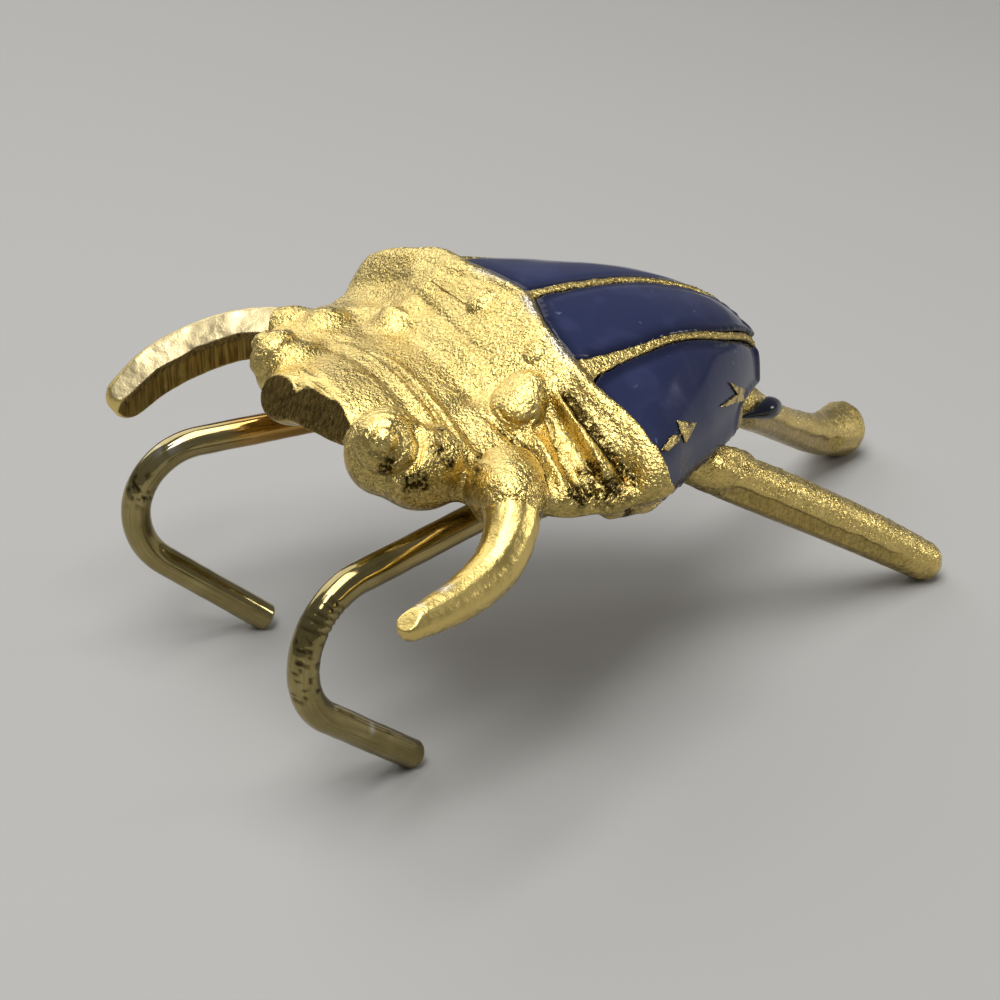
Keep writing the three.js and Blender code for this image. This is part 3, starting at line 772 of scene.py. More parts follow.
def weld_root(name, swell):
    """The swollen root of a leg, to be cast into the body as its fillet."""
    root = copy_of(name, "weld")
    remesh(root, ROOT_VOXEL)
    points = points_of(root)
    taper = smoothstep(WELD_LENGTH[name], WELD_LENGTH[name] - 2.6, leg_frame(name, points)["run"])
    move_points(root, points + normals_of(root) * (taper * (swell / MM + 0.1) - 0.1)[:, None])
    end, later = places_along(*leg_line(name), (WELD_LENGTH[name], WELD_LENGTH[name] + 1))
    bpy.ops.object.mode_set(mode="EDIT")
    bpy.ops.mesh.select_all(action="SELECT")
    bpy.ops.mesh.bisect(
        plane_co=Vector(in_frame(end)), plane_no=Vector(later) - Vector(end),
        use_fill=True, clear_outer=True)
    bpy.ops.object.mode_set(mode="OBJECT")
    return root


def on_line(points, half, line):
    """How strongly each point lies on a line across the back, from 0 to 1."""
    xs, ys = zip(*line)
    off = (points[:, 1] - np.interp(points[:, 0], xs, ys)) / half
    start = smoothstep(xs[0] - LINE_FADE, xs[0] + LINE_FADE, points[:, 0])
    end = 1 - smoothstep(xs[-1] - LINE_FADE, xs[-1] + LINE_FADE, points[:, 0])
    return np.exp(-off * off) * start * end


def over_belly(points):
    """Height of each point over the sloping belly."""
    return points[:, 2] - BELLY_HEIGHT - BELLY_SLOPE_Y * points[:, 1] - BELLY_SLOPE_X * points[:, 0]


def lip_bow(points):
    """How far the lip is bowed along the body at each point."""
    xs, shifts = zip(*LIP_BOW)
    return np.interp(points[:, 0], xs, shifts)


def nearness(points, spots):
    """How near each point is to one of the spots, from 0 to 1."""
    near = [np.exp(-(((points - spot[:3]) / spot[3]) ** 2).sum(axis=1)) for spot in spots]
    return np.max(near, axis=0)


def fill_creases(piece, weight, rounds):
    """Raise what lies in a crease, and leave the crests as they are."""
    for _ in range(rounds):
        points, ways = points_of(piece), normals_of(piece)
        depth = ((neighbour_mean(piece, points) - points) * ways).sum(axis=1)
        move_points(piece, points + ways * (np.maximum(depth, 0) * weight)[:, None])


def give_back(piece, before, spread):
    """Undo the general shrink of a smoothing, and keep only the loss of its facets."""
    after = points_of(piece)
    move_points(piece, after + blur(piece, before - after, spread))


def draw_lip(points):
    """Draw the back edge of the lip forwards, most between the seam and the near rib."""
    behind = points[:, 1] - lip_bow(points)
    along = smoothstep(-2.5, -0.3, behind) * smoothstep(3.2, 1.6, behind)
    across = smoothstep(-7, -2, points[:, 0]) * smoothstep(18, 13, points[:, 0])
    points[:, 1] -= LIP_DRAW * along * across


def lift_far_side(points):
    """Lift the far end of the lip and the wing case behind it."""
    along = smoothstep(-8, -3, points[:, 1]) * smoothstep(14, 6, points[:, 1])
    across = smoothstep(-6, -14, points[:, 0]) * smoothstep(2, 6, over_belly(points))
    points[:, 2] += FAR_LIFT * along * across


def straighten_slopes(points, ways):
    """Bring the bands of the shield that have no step onto straight slopes."""
    for ends, fade in SLOPES:
        heights = []
        for y in ends:
            band = points[(ways[:, 2] > 0.3) & (np.abs(points[:, 1] - y) < 0.25)]
            steps = np.round(band[:, 0] / 0.5)
            places = np.unique(steps)
            means = [band[steps == place, 2].mean() for place in places]
            heights.append(np.interp(points[:, 0], places * 0.5, means))
        part = (points[:, 1] - ends[0]) / (ends[1] - ends[0])
        chord = heights[0] + (heights[1] - heights[0]) * part
        inside = (part > 0) & (part < 1) & (ways[:, 2] > 0)
        across = smoothstep(fade[0], fade[1], points[:, 0]) * smoothstep(fade[3], fade[2], points[:, 0])
        points[:, 2] += np.where(inside, chord - points[:, 2], 0) * across


def furrows(points):
    """How deep each point lies in one of the grooves across the back."""
    grooves = [-rise * on_line(points, half, line) for rise, half, line in BACK_LINES if rise < 0]
    return np.max(grooves, axis=0)


def back_relief(points, ways):
    """Height of the cast ridges, grooves, bosses and eye rings at each point."""
    height = np.zeros(len(points))
    for rise, half, line in BACK_LINES:
        height += rise * on_line(points, half, line)
    for x, y, radius, rise in BOSSES:
        reach = ((points[:, 0] - x) ** 2 + (points[:, 1] - y) ** 2) / radius ** 2
        height += rise * np.sqrt(np.maximum(0, 1 - reach))
    for eye in EYES:
        offset = points - eye
        axis = ways[np.linalg.norm(offset, axis=1) < 2.0].mean(axis=0)
        axis /= np.linalg.norm(axis)
        along = offset @ axis
        reach = np.linalg.norm(offset - np.outer(along, axis), axis=1) + np.where(np.abs(along) < 3, 0, 99)
        rings = np.cos(2 * math.pi * reach / EYE_RING_SPACING) * smoothstep(EYE_REACH, EYE_REACH - 1, reach)
        height += EYE_RING_HEIGHT * rings
        height -= EYE_RING_GROOVE * np.exp(-((reach - EYE_REACH - 0.3) / 0.4) ** 2)
        height += EYE_RISE * np.sqrt(np.maximum(0, 1 - (reach / EYE_REACH) ** 2))
        height += EYE_PUPIL_RISE * np.sqrt(np.maximum(0, 1 - (reach / EYE_PUPIL) ** 2))
    middle, half, depth, back, front = HEAD_SCOOP
    scoop = np.exp(-((points[:, 0] - middle) / half) ** 2) * smoothstep(back, front, points[:, 1])
    height -= depth * scoop * smoothstep(0.6, 0.85, ways[:, 2])
    return height * smoothstep(0.4, 1.6, over_belly(points))


def grind_head_face(points):
    """Push what stands before the ground plane back onto it, and say how much of each point lies on it."""
    normal = Vector(HEAD_FACE_NORMAL).normalized()
    ahead = (points - HEAD_FACE_POINT) @ np.array(normal) + HEAD_FACE_SINK
    on_head = (points[:, 0] > HEAD_FACE_X[0]) & (points[:, 0] < HEAD_FACE_X[1]) & (points[:, 1] < -18)
    ground = on_head & (ahead > 0)
    points[ground] -= np.outer(ahead[ground], normal)
    return smoothstep(-0.12, -0.02, np.where(on_head, ahead, -1))


class SCARAB_OT_body_casting(bpy.types.Operator):
    """Cast the body: head, shield and wing-case frame in one grainy skin with fillets at the leg roots"""
    bl_idname = "scarab.body_casting"
    bl_label = "Body Casting"

    def execute(self, context):
        shape, finish = context.scene.scarab_shape, context.scene.scarab_finish
        casting = copy_of("body_casting", "casting")
        roots = [weld_root(name, shape.weld_swell) for name in WELD_LENGTH]
        select_only(casting, *roots, self.head_bridge())
        bpy.ops.object.join()
        apply_modifier(casting, "REMESH", mode="VOXEL", voxel_size=shape.cast_voxel)
        before = points_of(casting)
        self.soften(casting)
        give_back(casting, before, CASTING_SPREAD)
        points = points_of(casting)
        points[:, 1] -= (1 - TAIL_LEFT) * np.maximum(0, points[:, 1] - TAIL_END_Y)
        draw_lip(points)
        straighten_slopes(points, normals_of(casting))
        lift_far_side(points)
        self.tuck_tail(points)
        move_points(casting, points)
        self.melt(casting)
        head = smoothstep(-15.5, -18.5, points[:, 1]) * smoothstep(6.5, 3.5, points[:, 0])
        fill_creases(casting, head, HEAD_CREASE_ROUNDS)
        self.close_cells(casting, shape.cell_closing / MM)
        points = points_of(casting)
        above = smoothstep(0.2, 1.4, over_belly(points))
        ways = normals_of(casting)
        points += ways * back_relief(points, ways)[:, None]
        grain = bumps(points, 1.1) + 0.7 * bumps(points, 0.6, 7.0)
        points += ways * (grain * above * shape.cast_grain / MM)[:, None]
        grind_head_face(points)
        move_points(casting, points)
        triangles = len(casting.data.polygons) * 2
        apply_modifier(casting, "DECIMATE", ratio=min(1.0, CASTING_TRIANGLES / triangles),
                       use_collapse_triangulate=True)
        self.keep_finish(casting)
        finish_piece(casting, cast_gold(finish), "cast_gold", "body_casting")
        return {"FINISHED"}

    def tuck_tail(self, points):
        """Draw the lower end of the tail in under the wing cases."""
        low = smoothstep(4.0, 1.5, over_belly(points)) * smoothstep(20, 24, points[:, 1])
        points[:, 1] -= TAIL_TUCK * low

    def head_bridge(self):
        """A ball of metal that fills the crease between the snout and the right eye lobe."""
        centre, half = HEAD_BRIDGE
        bpy.ops.object.select_all(action="DESELECT")
        bpy.ops.mesh.primitive_uv_sphere_add(
            segments=32, ring_count=16, radius=MM, scale=half, location=Vector(in_frame(centre)))
        bpy.ops.object.transform_apply(location=True, rotation=True, scale=True)
        return bpy.context.active_object

    def soften(self, casting):
        """Smooth the facets away, less on the narrow ribs of the wing cases."""
        points = points_of(casting)
        ribs = smoothstep(-1.2, -0.3, points[:, 1] - lip_bow(points))
        smooth(casting, CASTING_ROUNDS, np.round(1 - 0.95 * ribs, 2))

    def melt(self, casting):
        """Smooth round places of the shield once more."""
        for x, y, reach, rounds in MELTS:
            points = points_of(casting)
            away = np.hypot(points[:, 0] - x, points[:, 1] - y)
            weight = smoothstep(reach, 0.6 * reach, away) * smoothstep(3, 5, over_belly(points))
            smooth(casting, rounds, np.round(weight, 1))

    def close_cells(self, casting, reach):
        """Grow the walls of the sunk cells up to the enamel, which also rounds the ribs."""
        points, ways = points_of(casting), normals_of(casting)
        for node in ENAMEL_NODES:
            fill = copy_of(node, "cell")
            tree = BVHTree.FromObject(fill, bpy.context.evaluated_depsgraph_get())
            near = np.flatnonzero(points[:, 1] - lip_bow(points) > -0.6)
            for i in near:
                spot = Vector(in_frame(points[i]))
                place = tree.find_nearest(spot, 0.5 * MM)[0]
                if place is not None and (place - spot).dot(Vector(ways[i])) > 0:
                    points[i] += ways[i] * reach
            bpy.data.objects.remove(fill)
        move_points(casting, points)

    def keep_finish(self, casting):
        """Store where the casting is darkened (dark spots, patina with painted shade in grooves, painted
        shade on steep flanks), where the plate is worn, and where the head is ground flat.
        """
        points = points_of(casting)
        dark_spots = nearness(points, DARK_SPOTS) * smoothstep(-0.5, 0.2, bumps(points, 1.2, 6.0))
        # Grooves and hollows are darkened: patina colour and painted shade together.
        deep = smoothstep(0.12, 0.30, hollows(casting, 5))
        sunk = np.maximum(smoothstep(0.12, 0.45, furrows(points)), deep)
        # Painted shade: steep flanks facing sideways or down are painted darker, in patches.
        flank_shade = smoothstep(0.45, -0.1, normals_of(casting)[:, 2]) * (0.55 + 0.55 * bumps(points, 2.5, 8.0))
        keep_value(casting, "recess", np.max([1.7 * dark_spots, 1.5 * sunk, flank_shade], axis=0))
        edge = (points[:, 1] - lip_bow(points) - LIP_WORN_Y) / 0.45
        patchy = smoothstep(-0.6, 0.2, bumps(points, 3.0, 3.0)) * smoothstep(4, 6, over_belly(points))
        patchy *= smoothstep(-8, -4, points[:, 0]) * smoothstep(13, 9, points[:, 0])
        keep_value(casting, "worn", np.exp(-edge * edge) * patchy)
        ground = grind_head_face(points)
        keep_value(casting, "ground", ground)
        keep_value(casting, "polish", np.maximum(ground, 0.75 * nearness(points, RUBBED)))


class SCARAB_OT_enamel_fills(bpy.types.Operator):
    """Pour the enamel: four glossy fills with a meniscus and ragged edges"""
    bl_idname = "scarab.enamel_fills"
    bl_label = "Enamel Fills"

    def execute(self, context):
        shape, finish = context.scene.scarab_shape, context.scene.scarab_finish
        enamel = cold_enamel("blue cold enamel", finish.enamel_body, finish.enamel_cloud, finish.enamel_edge,
                             finish.enamel_chalk, FILL_GLOSS)
        for node in ENAMEL_NODES:
            fill = copy_of(node, node.replace("enamel", "fill"))
            remesh(fill, FILL_VOXEL)
            before = points_of(fill)
            smooth(fill, FILL_ROUNDS)
            give_back(fill, before, FILL_SPREAD)
            points = points_of(fill)
            draw_lip(points)
            lift_far_side(points)
            move_points(fill, points)
            self.pour(fill, shape.enamel_spill / MM, node.endswith("outer"))
            smooth(fill, FILL_LAST_ROUNDS)
            self.round_rim(fill)
            finish_piece(fill, enamel, "blue_enamel", node)
        return {"FINISHED"}

    def round_rim(self, fill):
        """Round the low edge of a fill off, and its front edge a little."""
        points = points_of(fill)
        front = 0.8 * smoothstep(1.6, 0.6, points[:, 1] - lip_bow(points))
        low = smoothstep(3.2, 2.2, over_belly(points))
        smooth(fill, RIM_ROUNDS, np.round(np.maximum(front, low), 1))

    def pour(self, fill, spill, reaches_rim):
        """Swell a fill onto its walls with a ragged border, and crown it inside a shallow meniscus."""
        points, ways = points_of(fill), normals_of(fill)
        belly = points[:, 2] - over_belly(points)
        outward = points - np.stack([points[:, 0] * 0, points[:, 1], belly], axis=1)
        outward /= np.linalg.norm(outward, axis=1, keepdims=True)
        facing = (ways * outward).sum(axis=1)
        walls = KDTree(len(points))
        for i in np.flatnonzero(facing < 0.35):
            walls.insert(points[i], i)
        walls.balance()
        inside = blur(fill, np.array([walls.find(p)[2] for p in points]), 3)
        smooth(fill, FILL_LEVEL_ROUNDS, np.round(smoothstep(*MENISCUS, inside), 1))
        points, ways = points_of(fill), normals_of(fill)
        ragged = 0.6 * bumps(points, 1.7, 2.0) + 0.4 * bumps(points, 0.9, 5.0)
        edge = 1 - smoothstep(*MENISCUS, inside)
        crown = FILL_CROWN * smoothstep(0.7, 2.0, inside) - 0.03 * np.exp(-((inside - 0.8) / 0.3) ** 2)
        outer = smoothstep(-0.5, 0.0, facing)
        sideways = ways - outward * (ways * outward).sum(axis=1)[:, None]
        push = sideways * (outer * edge * (FILL_PUSH + spill * ragged))[:, None]
        points += blur(fill, push, 4)
        points += ways * (outer * (1 - edge) * (crown + 0.05 * bumps(points, 4.0, 9.0)))[:, None]
        points[:, 1] += 0.3 * outer * smoothstep(0.3, 0.8, ways[:, 1]) * edge
        if reaches_rim:
            clear = outer * smoothstep(1.2, 3.2, points[:, 1] - lip_bow(points))
            run = blur(fill, smoothstep(2.4, 1.0, over_belly(points)) * clear, 8)
            sag = blur(fill, smoothstep(1.6, 0.9, over_belly(points)) * clear, 8)
            points += outward * (RIM_RUN * run)[:, None]
            points[:, 2] -= RIM_SAG * sag
        move_points(fill, points)
        keep_value(fill, "rim", 0.8 * smoothstep(1.3, 0.2, inside))


class SCARAB_OT_legs(bpy.types.Operator):
    """Shape the four legs: filed front legs with a ground flank, grainy rear legs with a parting line"""
    bl_idname = "scarab.legs"
    bl_label = "Legs"

    def execute(self, context):
        finish = context.scene.scarab_finish
        for name in LEG_LINES:
            leg = copy_of(name, name.replace("leg", "limb"))
            remesh(leg, LEG_VOXEL)
            smooth(leg, LEG_ROUNDS)
            if name.startswith("rear"):
                self.part_rear_leg(leg, name)
                gold = cast_gold(finish)
            else:
                getattr(self, name)(leg)
                gold = filed_gold(finish)
            points = points_of(leg)
            points[:, 2] = np.maximum(points[:, 2], 0)
            move_points(leg, points)
            finish_piece(leg, gold, "leg_gold", name)
        return {"FINISHED"}

    def rough(self, leg):
        """Give a front leg its faint grain."""
        points, ways = points_of(leg), normals_of(leg)
        grain = bumps(points, 1.2, 4.0) + 0.6 * bumps(points, 0.6, 8.0)
        move_points(leg, points + ways * (grain * FRONT_LEG_GRAIN)[:, None])

    def front_leg_left(self, leg):
        """Smooth leg with a blunt cut tip and a worn spot before it."""
        points = points_of(leg)
        at = leg_frame("front_leg_left", points)
        left = at["length"] - at["run"]
        limit = 0.9 + 0.6 * left
        over = np.maximum(0, at["up"] - limit)
        points -= at["up_way"] * over[:, None]
        move_points(leg, points)
        self.rough(leg)
        spot = smoothstep(5.6, 4.2, left) * smoothstep(0.6, 1.6, left) * smoothstep(0.3, 0.9, at["up"])
        spot *= smoothstep(0.7, -0.2, at["across"])
        keep_value(leg, "worn", 0.9 * spot * smoothstep(-0.4, 0.2, bumps(points, 1.4, 3.0)))
        # Painted shade: the underside is darkened, and the hollows take patina and painted shade.
        under = 0.6 * smoothstep(0.2, -1.2, at["up"])
        keep_value(leg, "recess", np.maximum(under, smoothstep(0.02, 0.12, hollows(leg, 6))))

    def front_leg_right(self, leg):
        """Leg with a flat ground flank on its inner side, under a rounded top whose flat facet is painted
        pale as a highlight.
        """
        points = points_of(leg)
        at = leg_frame("front_leg_right", points)
        flank = 1.2 + 0.6 * np.maximum(0, at["up"] - 0.2) + 0.08 * bumps(points, 2.0, 6.0)
        over = np.maximum(0, at["across"] - flank)
        points -= at["across_way"] * over[:, None]
        ground = smoothstep(0.0, 0.1, over) * smoothstep(4.0, 6.5, at["run"])
        facing = np.array(TOP_FACET_WAY)
        offset = at["across_way"] * (at["across"] - over)[:, None] + at["up_way"] * at["up"][:, None]
        proud = np.maximum(0, offset @ facing - TOP_FACET_OUT)
        points -= facing * proud[:, None]
        facet = smoothstep(0.0, 0.08, proud) * smoothstep(3.0, 5.5, at["run"])
        move_points(leg, points)
        self.rough(leg)
        # Painted highlight: the facet is painted pale silver.
        keep_value(leg, "worn", 0.45 * facet)
        keep_value(leg, "ground", ground)
        keep_value(leg, "polish", np.maximum(ground, facet))
        # Painted shade: the underside is darkened, and the hollows take patina and painted shade.
        under = 0.6 * smoothstep(0.2, -1.2, at["up"])
        keep_value(leg, "recess", np.maximum(under, smoothstep(0.02, 0.12, hollows(leg, 6))))

    def part_rear_leg(self, leg, name):
        """Grainy half-round top over a smooth, set-back lower flank, with a ragged parting line between; the
        lower flank and the underside are painted darker as shade.
        """
        points = points_of(leg)
        at = leg_frame(name, points)
        root = ROOT_SWELL[name]
        lump = smoothstep(root[0] - 1.5, root[0], at["run"]) * smoothstep(root[1] + 2, root[1], at["run"])
        lump *= smoothstep(-1.4, 0.4, at["up"])
        points += normals_of(leg) * (lump * (0.35 + 0.45 * bumps(points, 1.5, 6.0)))[:, None]
        parting = -0.05 + 0.4 * bumps(points * (1, 1, 0), 2.2, 3.0)
        runs = smoothstep(root[1] - 2, root[1], at["run"]) * smoothstep(3.5, 6.5, at["length"] - at["run"])
        below = smoothstep(0.15, -0.15, at["up"] - parting) * runs
        over = np.maximum(0, -at["across"] - REAR_FLANK[name])
        points += at["across_way"] * (over * below)[:, None]
        grain = bumps(points, 1.1, 4.0) + 0.8 * bumps(points, 0.6, 8.0)
        points += normals_of(leg) * (REAR_LEG_GRAIN * grain * (1 - 0.8 * below))[:, None]
        move_points(leg, points)
        keep_value(leg, "worn", np.zeros(len(points)))
        # Painted shade: the lower flank takes the dark grinding colour.
        keep_value(leg, "ground", 0.4 * below)
        keep_value(leg, "polish", below)
        # Painted shade on the underside and the lower flank, with patina and painted shade in the hollows.
        under = smoothstep(0.6, -1.0, at["up"]) * (0.5 + 0.5 * bumps(points, 1.6, 5.0))
        dark = np.maximum(under, smoothstep(0.03, 0.15, hollows(leg, 6)))
        keep_value(leg, "recess", dark * (1 - below) + 0.5 * below)


class SCARAB_OT_wire_feet(bpy.types.Operator):
    """Bend the two wire feet from round wire, with their nicks and worn spots"""
    bl_idname = "scarab.wire_feet"
    bl_label = "Wire Feet"

    def execute(self, context):
        shape, finish = context.scene.scarab_shape, context.scene.scarab_finish
        gold = drawn_wire_gold(finish)
        hook = self.bend_hook(shape.wire_radius)
        for name, side in (("left", 1), ("right", -1)):
            foot = bpy.data.objects.new("hook_" + name, hook.data.copy())
            context.scene.collection.objects.link(foot)
            place = Vector(WIRE_BEND_START) * MM
            place.x *= side
            place.y += SHIELD_EDGE_Y * MM
            turn = Matrix.Rotation(math.radians(side * WIRE_TOE_IN_DEG), 4, "Z")
            foot.data.transform(Matrix.Translation(place) @ turn)
            self.wear(foot, name, side)
            finish_piece(foot, gold, "wire_gold", "wire_foot_" + name)
        bpy.data.objects.remove(hook)
        return {"FINISHED"}

    def bend_hook(self, radius):
        """One hook on its own upright plane, bent about the X axis."""
        rise = math.radians(WIRE_RISE_DEG)
        bend = math.radians(WIRE_BEND_DEG)
        back = Vector((0, math.cos(rise), math.sin(rise)))
        bend_start = Vector((0, -math.sin(rise), math.cos(rise) - 1)) * WIRE_BEND_RADIUS
        bpy.ops.object.select_all(action="DESELECT")
        bpy.ops.mesh.primitive_circle_add(
            vertices=WIRE_SIDES, radius=radius, fill_type="NGON", rotation=(rise - math.pi / 2, 0, 0),
            location=(bend_start + back * WIRE_SHANK) * MM)
        hook = bpy.context.active_object
        bpy.ops.object.transform_apply(location=True, rotation=True, scale=True)
        bpy.ops.object.mode_set(mode="EDIT")
        bpy.ops.mesh.select_all(action="SELECT")
        self.pull(-back, WIRE_SHANK)
        steps = round(WIRE_BEND_RADIUS * (bend - rise) / WIRE_RING_STEP)
        bpy.ops.mesh.spin(
            steps=steps, angle=rise - bend, center=(0, 0, -WIRE_BEND_RADIUS * MM), axis=(1, 0, 0))
        toe = Vector((0, -math.cos(bend), -math.sin(bend)))
        self.pull(toe, WIRE_TOE)
        bpy.ops.mesh.select_all(action="DESELECT")
        bpy.ops.mesh.select_mode(type="EDGE")
        bpy.ops.mesh.select_non_manifold()
        bpy.ops.mesh.edge_face_add()
        bpy.ops.mesh.select_all(action="SELECT")
        bpy.ops.mesh.remove_doubles(threshold=MERGE_GAP * MM)
        bpy.ops.mesh.normals_make_consistent(inside=False)
        bpy.ops.object.mode_set(mode="OBJECT")
        self.unroll(hook, radius, bend_start, back, toe, bend, rise)
        return hook

    def pull(self, way, length):
        """Draw the selected end along in short rings."""
        rings = round(length / WIRE_RING_STEP)
        for _ in range(rings):
            bpy.ops.mesh.extrude_region_move(
                TRANSFORM_OT_translate={"value": way * (length / rings * MM)})

    def unroll(self, hook, radius, bend_start, back, toe, bend, rise):
        """Store the distance along the wire and the way round it, in millimetres, for its drawing lines."""
        flat = np.empty(len(hook.data.vertices) * 3)
        hook.data.vertices.foreach_get("co", flat)
        points = flat.reshape(-1, 3) / MM
        centre = np.array((0, 0, -WIRE_BEND_RADIUS))
        angle = np.arctan2(-(points - centre)[:, 1], (points - centre)[:, 2])
        toe_start = centre + WIRE_BEND_RADIUS * np.array((0, -math.sin(bend), math.cos(bend)))
        on_shank = -((points - bend_start) @ np.array(back))
        on_toe = (points - toe_start) @ np.array(toe)
        angle = np.where(angle < -2, angle + 2 * math.pi, angle)
        bent = WIRE_BEND_RADIUS * (np.clip(angle, rise, bend) - rise)
        is_shank = (on_shank < 0) & (points[:, 2] > -WIRE_BEND_RADIUS)
        is_toe = (on_toe > 0) & ~is_shank
        run = np.where(is_shank, on_shank, np.where(is_toe, bent.max() + on_toe, bent))
        out = np.where(is_shank, (points - bend_start) @ np.cross((1, 0, 0), np.array(back)), 0)
        out = np.where(is_toe, (points - toe_start) @ np.cross(np.array(toe), (1, 0, 0)), out)
        radial = np.linalg.norm((points - centre)[:, 1:], axis=1) - WIRE_BEND_RADIUS
        out = np.where(is_shank | is_toe, out, radial)
        keep_value(hook, "run", run)
        keep_value(hook, "turn", np.arctan2(points[:, 0], out) * radius / MM)

    def wear(self, foot, name, side):
        """Crimps, pits and worn spots, and the flat under the toe."""
        points, ways = points_of(foot), normals_of(foot)
        run = np.empty(len(points), dtype=np.float32)
        foot.data.attributes["run"].data.foreach_get("value", run)
        uneven = 0.03 * bumps(points, 4.0, side) + 0.02 * bumps(points, 1.5, 2 + side)
        dents = np.zeros(len(points))
        if name == "left":
            skew = 0.35 * ways[:, 2]
            for place in WIRE_CRIMPS:
                dents += np.exp(-((run - place - skew) / 0.13) ** 2)
            dents *= smoothstep(-0.3, 0.4, ways[:, 0]) * smoothstep(0.9, 0.4, ways[:, 2])
        first, last = WIRE_PITS[name]
        pitted = smoothstep(first - 0.5, first + 0.5, run) * smoothstep(last + 0.8, last - 0.8, run)
        pits = smoothstep(0.15, 0.35, bumps(points, 0.55, 12 + side)) * pitted
        pits *= smoothstep(-0.2, 0.3, ways[:, 0])
        points += ways * (uneven - 0.12 * dents - 0.06 * pits)[:, None]
        points[:, 2] = np.maximum(points[:, 2], 0)
        move_points(foot, points)
        worn = np.zeros(len(points))
        for place, half in WIRE_WORN[name]:
            worn += np.exp(-((run - place) / half) ** 2) * smoothstep(0.0, 0.5, ways[:, 2])
        worn *= smoothstep(-0.35, 0.2, bumps(points, 0.9, 20 + side))
        # The crimps are darkened as painted shade, and the pits are darker too.
        keep_value(foot, "recess", np.clip(0.9 * dents + 0.9 * pits, 0, 1))
        keep_value(foot, "worn", 0.9 * worn)
        root, tip = WIRE_WARM_RUN
        shank = smoothstep(root - 2, root, run) * smoothstep(tip + 2, tip - 2, run)
        keep_value(foot, "warm", WIRE_WARM[name] * shank)


class SCARAB_OT_solder_saddles(bpy.types.Operator):
    """Flow the solder saddles that hold the wires under the belly"""
    bl_idname = "scarab.solder_saddles"
    bl_label = "Solder Saddles"

    def execute(self, context):
        solder = flowed_solder(context.scene.scarab_finish)
        for node in SOLDER_NODES:
            saddle = copy_of(node, node.replace("solder", "saddle"))
            remesh(saddle, SADDLE_VOXEL)
            smooth(saddle, SADDLE_ROUNDS)
            points = points_of(saddle)
            swell = 0.25 + 0.12 * bumps(points, 2.2, 1.0)
            move_points(saddle, points + normals_of(saddle) * swell[:, None])
            finish_piece(saddle, solder, "solder", node)
        return {"FINISHED"}


class SCARAB_OT_enamel_drip(bpy.types.Operator):
    """Round off the drip of enamel on the right rear leg"""
    bl_idname = "scarab.enamel_drip"
    bl_label = "Enamel Drip"

    def execute(self, context):
        finish = context.scene.scarab_finish
        drip = copy_of("enamel_drip", "drip")
        remesh(drip, DRIP_VOXEL)
        smooth(drip, DRIP_ROUNDS)
        points = points_of(drip) + DRIP_SHIFT
        low, high = points[:, 1].min(), points[:, 1].max()
        middle = points.mean(axis=0)
        thick = 0.35 + 0.5 * smoothstep(low, low + 0.7 * (high - low), points[:, 1])
        for axis in (0, 2):
            points[:, axis] = middle[axis] + (points[:, axis] - middle[axis]) * thick
        points[:, 1] -= 0.8 * smoothstep(middle[1], low, points[:, 1])
        move_points(drip, points)
        keep_value(drip, "rim", np.zeros(len(points)))
        enamel = cold_enamel("blue-black cold enamel", finish.drip_dark, finish.enamel_edge, finish.drip_dark,
                             finish.enamel_edge, DRIP_GLOSS)
        finish_piece(drip, enamel, "dark_enamel", "enamel_drip")
        return {"FINISHED"}


class SCARAB_OT_gold_leaf(bpy.types.Operator):
    """Lay the torn flakes of gold over the near enamel"""
    bl_idname = "scarab.gold_leaf"
    bl_label = "Gold Leaf"

    def execute(self, context):
        gold = cast_gold(context.scene.scarab_finish)
        for name, corners in LEAVES.items():
            bpy.ops.object.select_all(action="DESELECT")
            bpy.ops.mesh.primitive_circle_add(vertices=len(corners), radius=MM, fill_type="NGON")
            leaf = context.active_object
            leaf.name = name
            move_points(leaf, np.array(corners))
            bpy.ops.object.mode_set(mode="EDIT")
            bpy.ops.mesh.select_all(action="SELECT")
            bpy.ops.mesh.quads_convert_to_tris()
            bpy.ops.mesh.subdivide(number_cuts=7)
            bpy.ops.object.mode_set(mode="OBJECT")
            points = points_of(leaf)
            tear = [LEAF_TEAR * bumps(points, 0.5, seed) for seed in (1.0, 4.0, 9.0)]
            move_points(leaf, points + np.stack(tear, axis=1))
            apply_modifier(leaf, "SHRINKWRAP", target=bpy.data.objects[LEAF_FILL], offset=LEAF_LIFT * MM,
                           wrap_method="NEAREST_SURFACEPOINT", wrap_mode="ABOVE_SURFACE")
            apply_modifier(leaf, "SOLIDIFY", thickness=LEAF_THICKNESS * MM, offset=0.0)
            bpy.ops.object.mode_set(mode="EDIT")
            bpy.ops.mesh.select_all(action="SELECT")
            bpy.ops.mesh.normals_make_consistent(inside=False)
            bpy.ops.object.mode_set(mode="OBJECT")
            keep_value(leaf, "recess", smoothstep(-0.1, 0.4, bumps(points_of(leaf), 1.0, 5.0)))
            finish_piece(leaf, gold, "cast_gold")
        return {"FINISHED"}


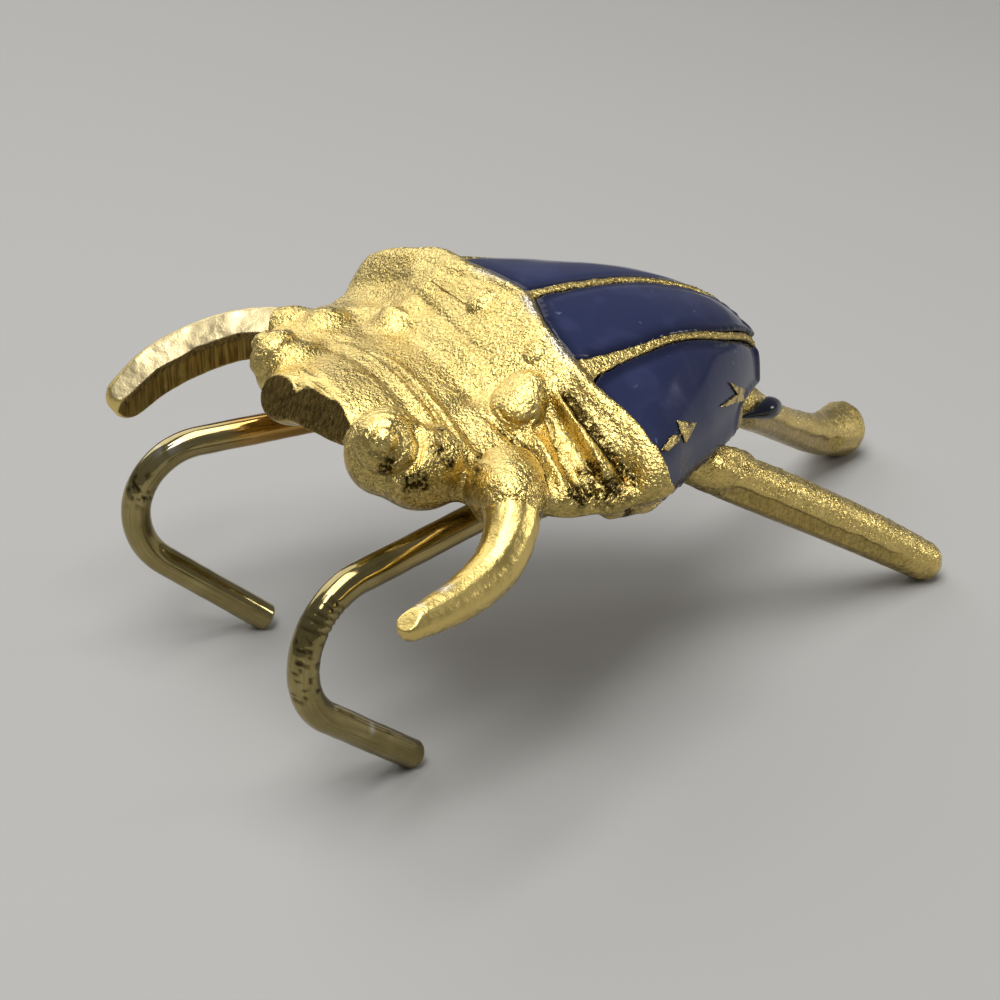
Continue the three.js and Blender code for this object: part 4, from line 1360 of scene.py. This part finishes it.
class SCARAB_OT_stage(bpy.types.Operator):
    """Set the pale floor, the softboxes, the surround and the camera"""
    bl_idname = "scarab.stage"
    bl_label = "Stage"

    def execute(self, context):
        stage = context.scene.scarab_stage
        bpy.ops.object.select_all(action="DESELECT")
        bpy.ops.mesh.primitive_plane_add(size=FLOOR_SIZE, location=(0, 0, 0))
        floor = context.active_object
        floor.name = "floor"
        material, tree = new_material("matt paper backdrop")
        close_material(tree, {"Base Color": opaque(stage.floor_colour), "Roughness": 0.9})
        floor.data.materials.append(material)
        for name, (place, target, size) in LAMPS.items():
            self.softbox(name, place, target, size, getattr(stage, name + "_power"))
        world = bpy.data.worlds.new("grey surround")
        world.use_nodes = True
        world.node_tree.nodes.clear()
        grey = add_node(world.node_tree, "ShaderNodeBackground", {
            "Color": (1, 1, 1, 1), "Strength": stage.world_level,
        })
        add_node(world.node_tree, "ShaderNodeOutputWorld", {"Surface": grey.outputs["Background"]})
        context.scene.world = world
        camera = bpy.data.cameras.new("camera")
        camera.lens = CAMERA_LENS
        camera.clip_start = 0.01
        viewer = bpy.data.objects.new("camera", camera)
        viewer.location = Vector(CAMERA_PLACE) * MM
        way = Vector(CAMERA_TARGET) - Vector(CAMERA_PLACE)
        viewer.rotation_euler = way.to_track_quat("-Z", "Y").to_euler()
        context.scene.collection.objects.link(viewer)
        context.scene.camera = viewer
        context.scene.view_settings.view_transform = "Standard"
        return {"FINISHED"}

    def softbox(self, name, place, target, size, power):
        """A square lamp at a place in millimetres, facing a target."""
        lamp = bpy.data.lights.new(name, "AREA")
        lamp.size = size * MM
        lamp.energy = power
        box = bpy.data.objects.new(name, lamp)
        box.location = Vector(place) * MM
        box.rotation_euler = (Vector(target) - Vector(place)).to_track_quat("-Z", "Y").to_euler()
        bpy.context.scene.collection.objects.link(box)


class SCARAB_PT_panel(bpy.types.Panel):
    """Steps that dress the scarab, in order"""
    bl_idname = "SCARAB_PT_panel"
    bl_label = "Scarab Paperweight"
    bl_space_type = "VIEW_3D"
    bl_region_type = "UI"
    bl_category = "Scarab"

    def draw(self, context):
        for step in STEPS:
            self.layout.operator(step.bl_idname)
        for group in (context.scene.scarab_shape, context.scene.scarab_finish, context.scene.scarab_stage):
            box = self.layout.box()
            for name in group.bl_rna.properties.keys():
                if name not in ("rna_type", "name"):
                    box.prop(group, name)


STEPS = (SCARAB_OT_body_casting, SCARAB_OT_enamel_fills, SCARAB_OT_legs, SCARAB_OT_wire_feet,
         SCARAB_OT_solder_saddles, SCARAB_OT_enamel_drip, SCARAB_OT_gold_leaf, SCARAB_OT_stage)
GROUPS = (("scarab_shape", ScarabShape), ("scarab_finish", ScarabFinish), ("scarab_stage", ScarabStage))


def register():
    for name, group in GROUPS:
        bpy.utils.register_class(group)
        setattr(bpy.types.Scene, name, PointerProperty(type=group))
    for step in (*STEPS, SCARAB_PT_panel):
        bpy.utils.register_class(step)


def unregister():
    for step in (SCARAB_PT_panel, *reversed(STEPS)):
        bpy.utils.unregister_class(step)
    for name, group in reversed(GROUPS):
        delattr(bpy.types.Scene, name)
        bpy.utils.unregister_class(group)


def main():
    register()
    bpy.ops.scarab.body_casting()
    bpy.ops.scarab.enamel_fills()
    bpy.ops.scarab.legs()
    bpy.ops.scarab.wire_feet()
    bpy.ops.scarab.solder_saddles()
    bpy.ops.scarab.enamel_drip()
    bpy.ops.scarab.gold_leaf()
    bpy.ops.scarab.stage()


if __name__ == "__main__":
    main()
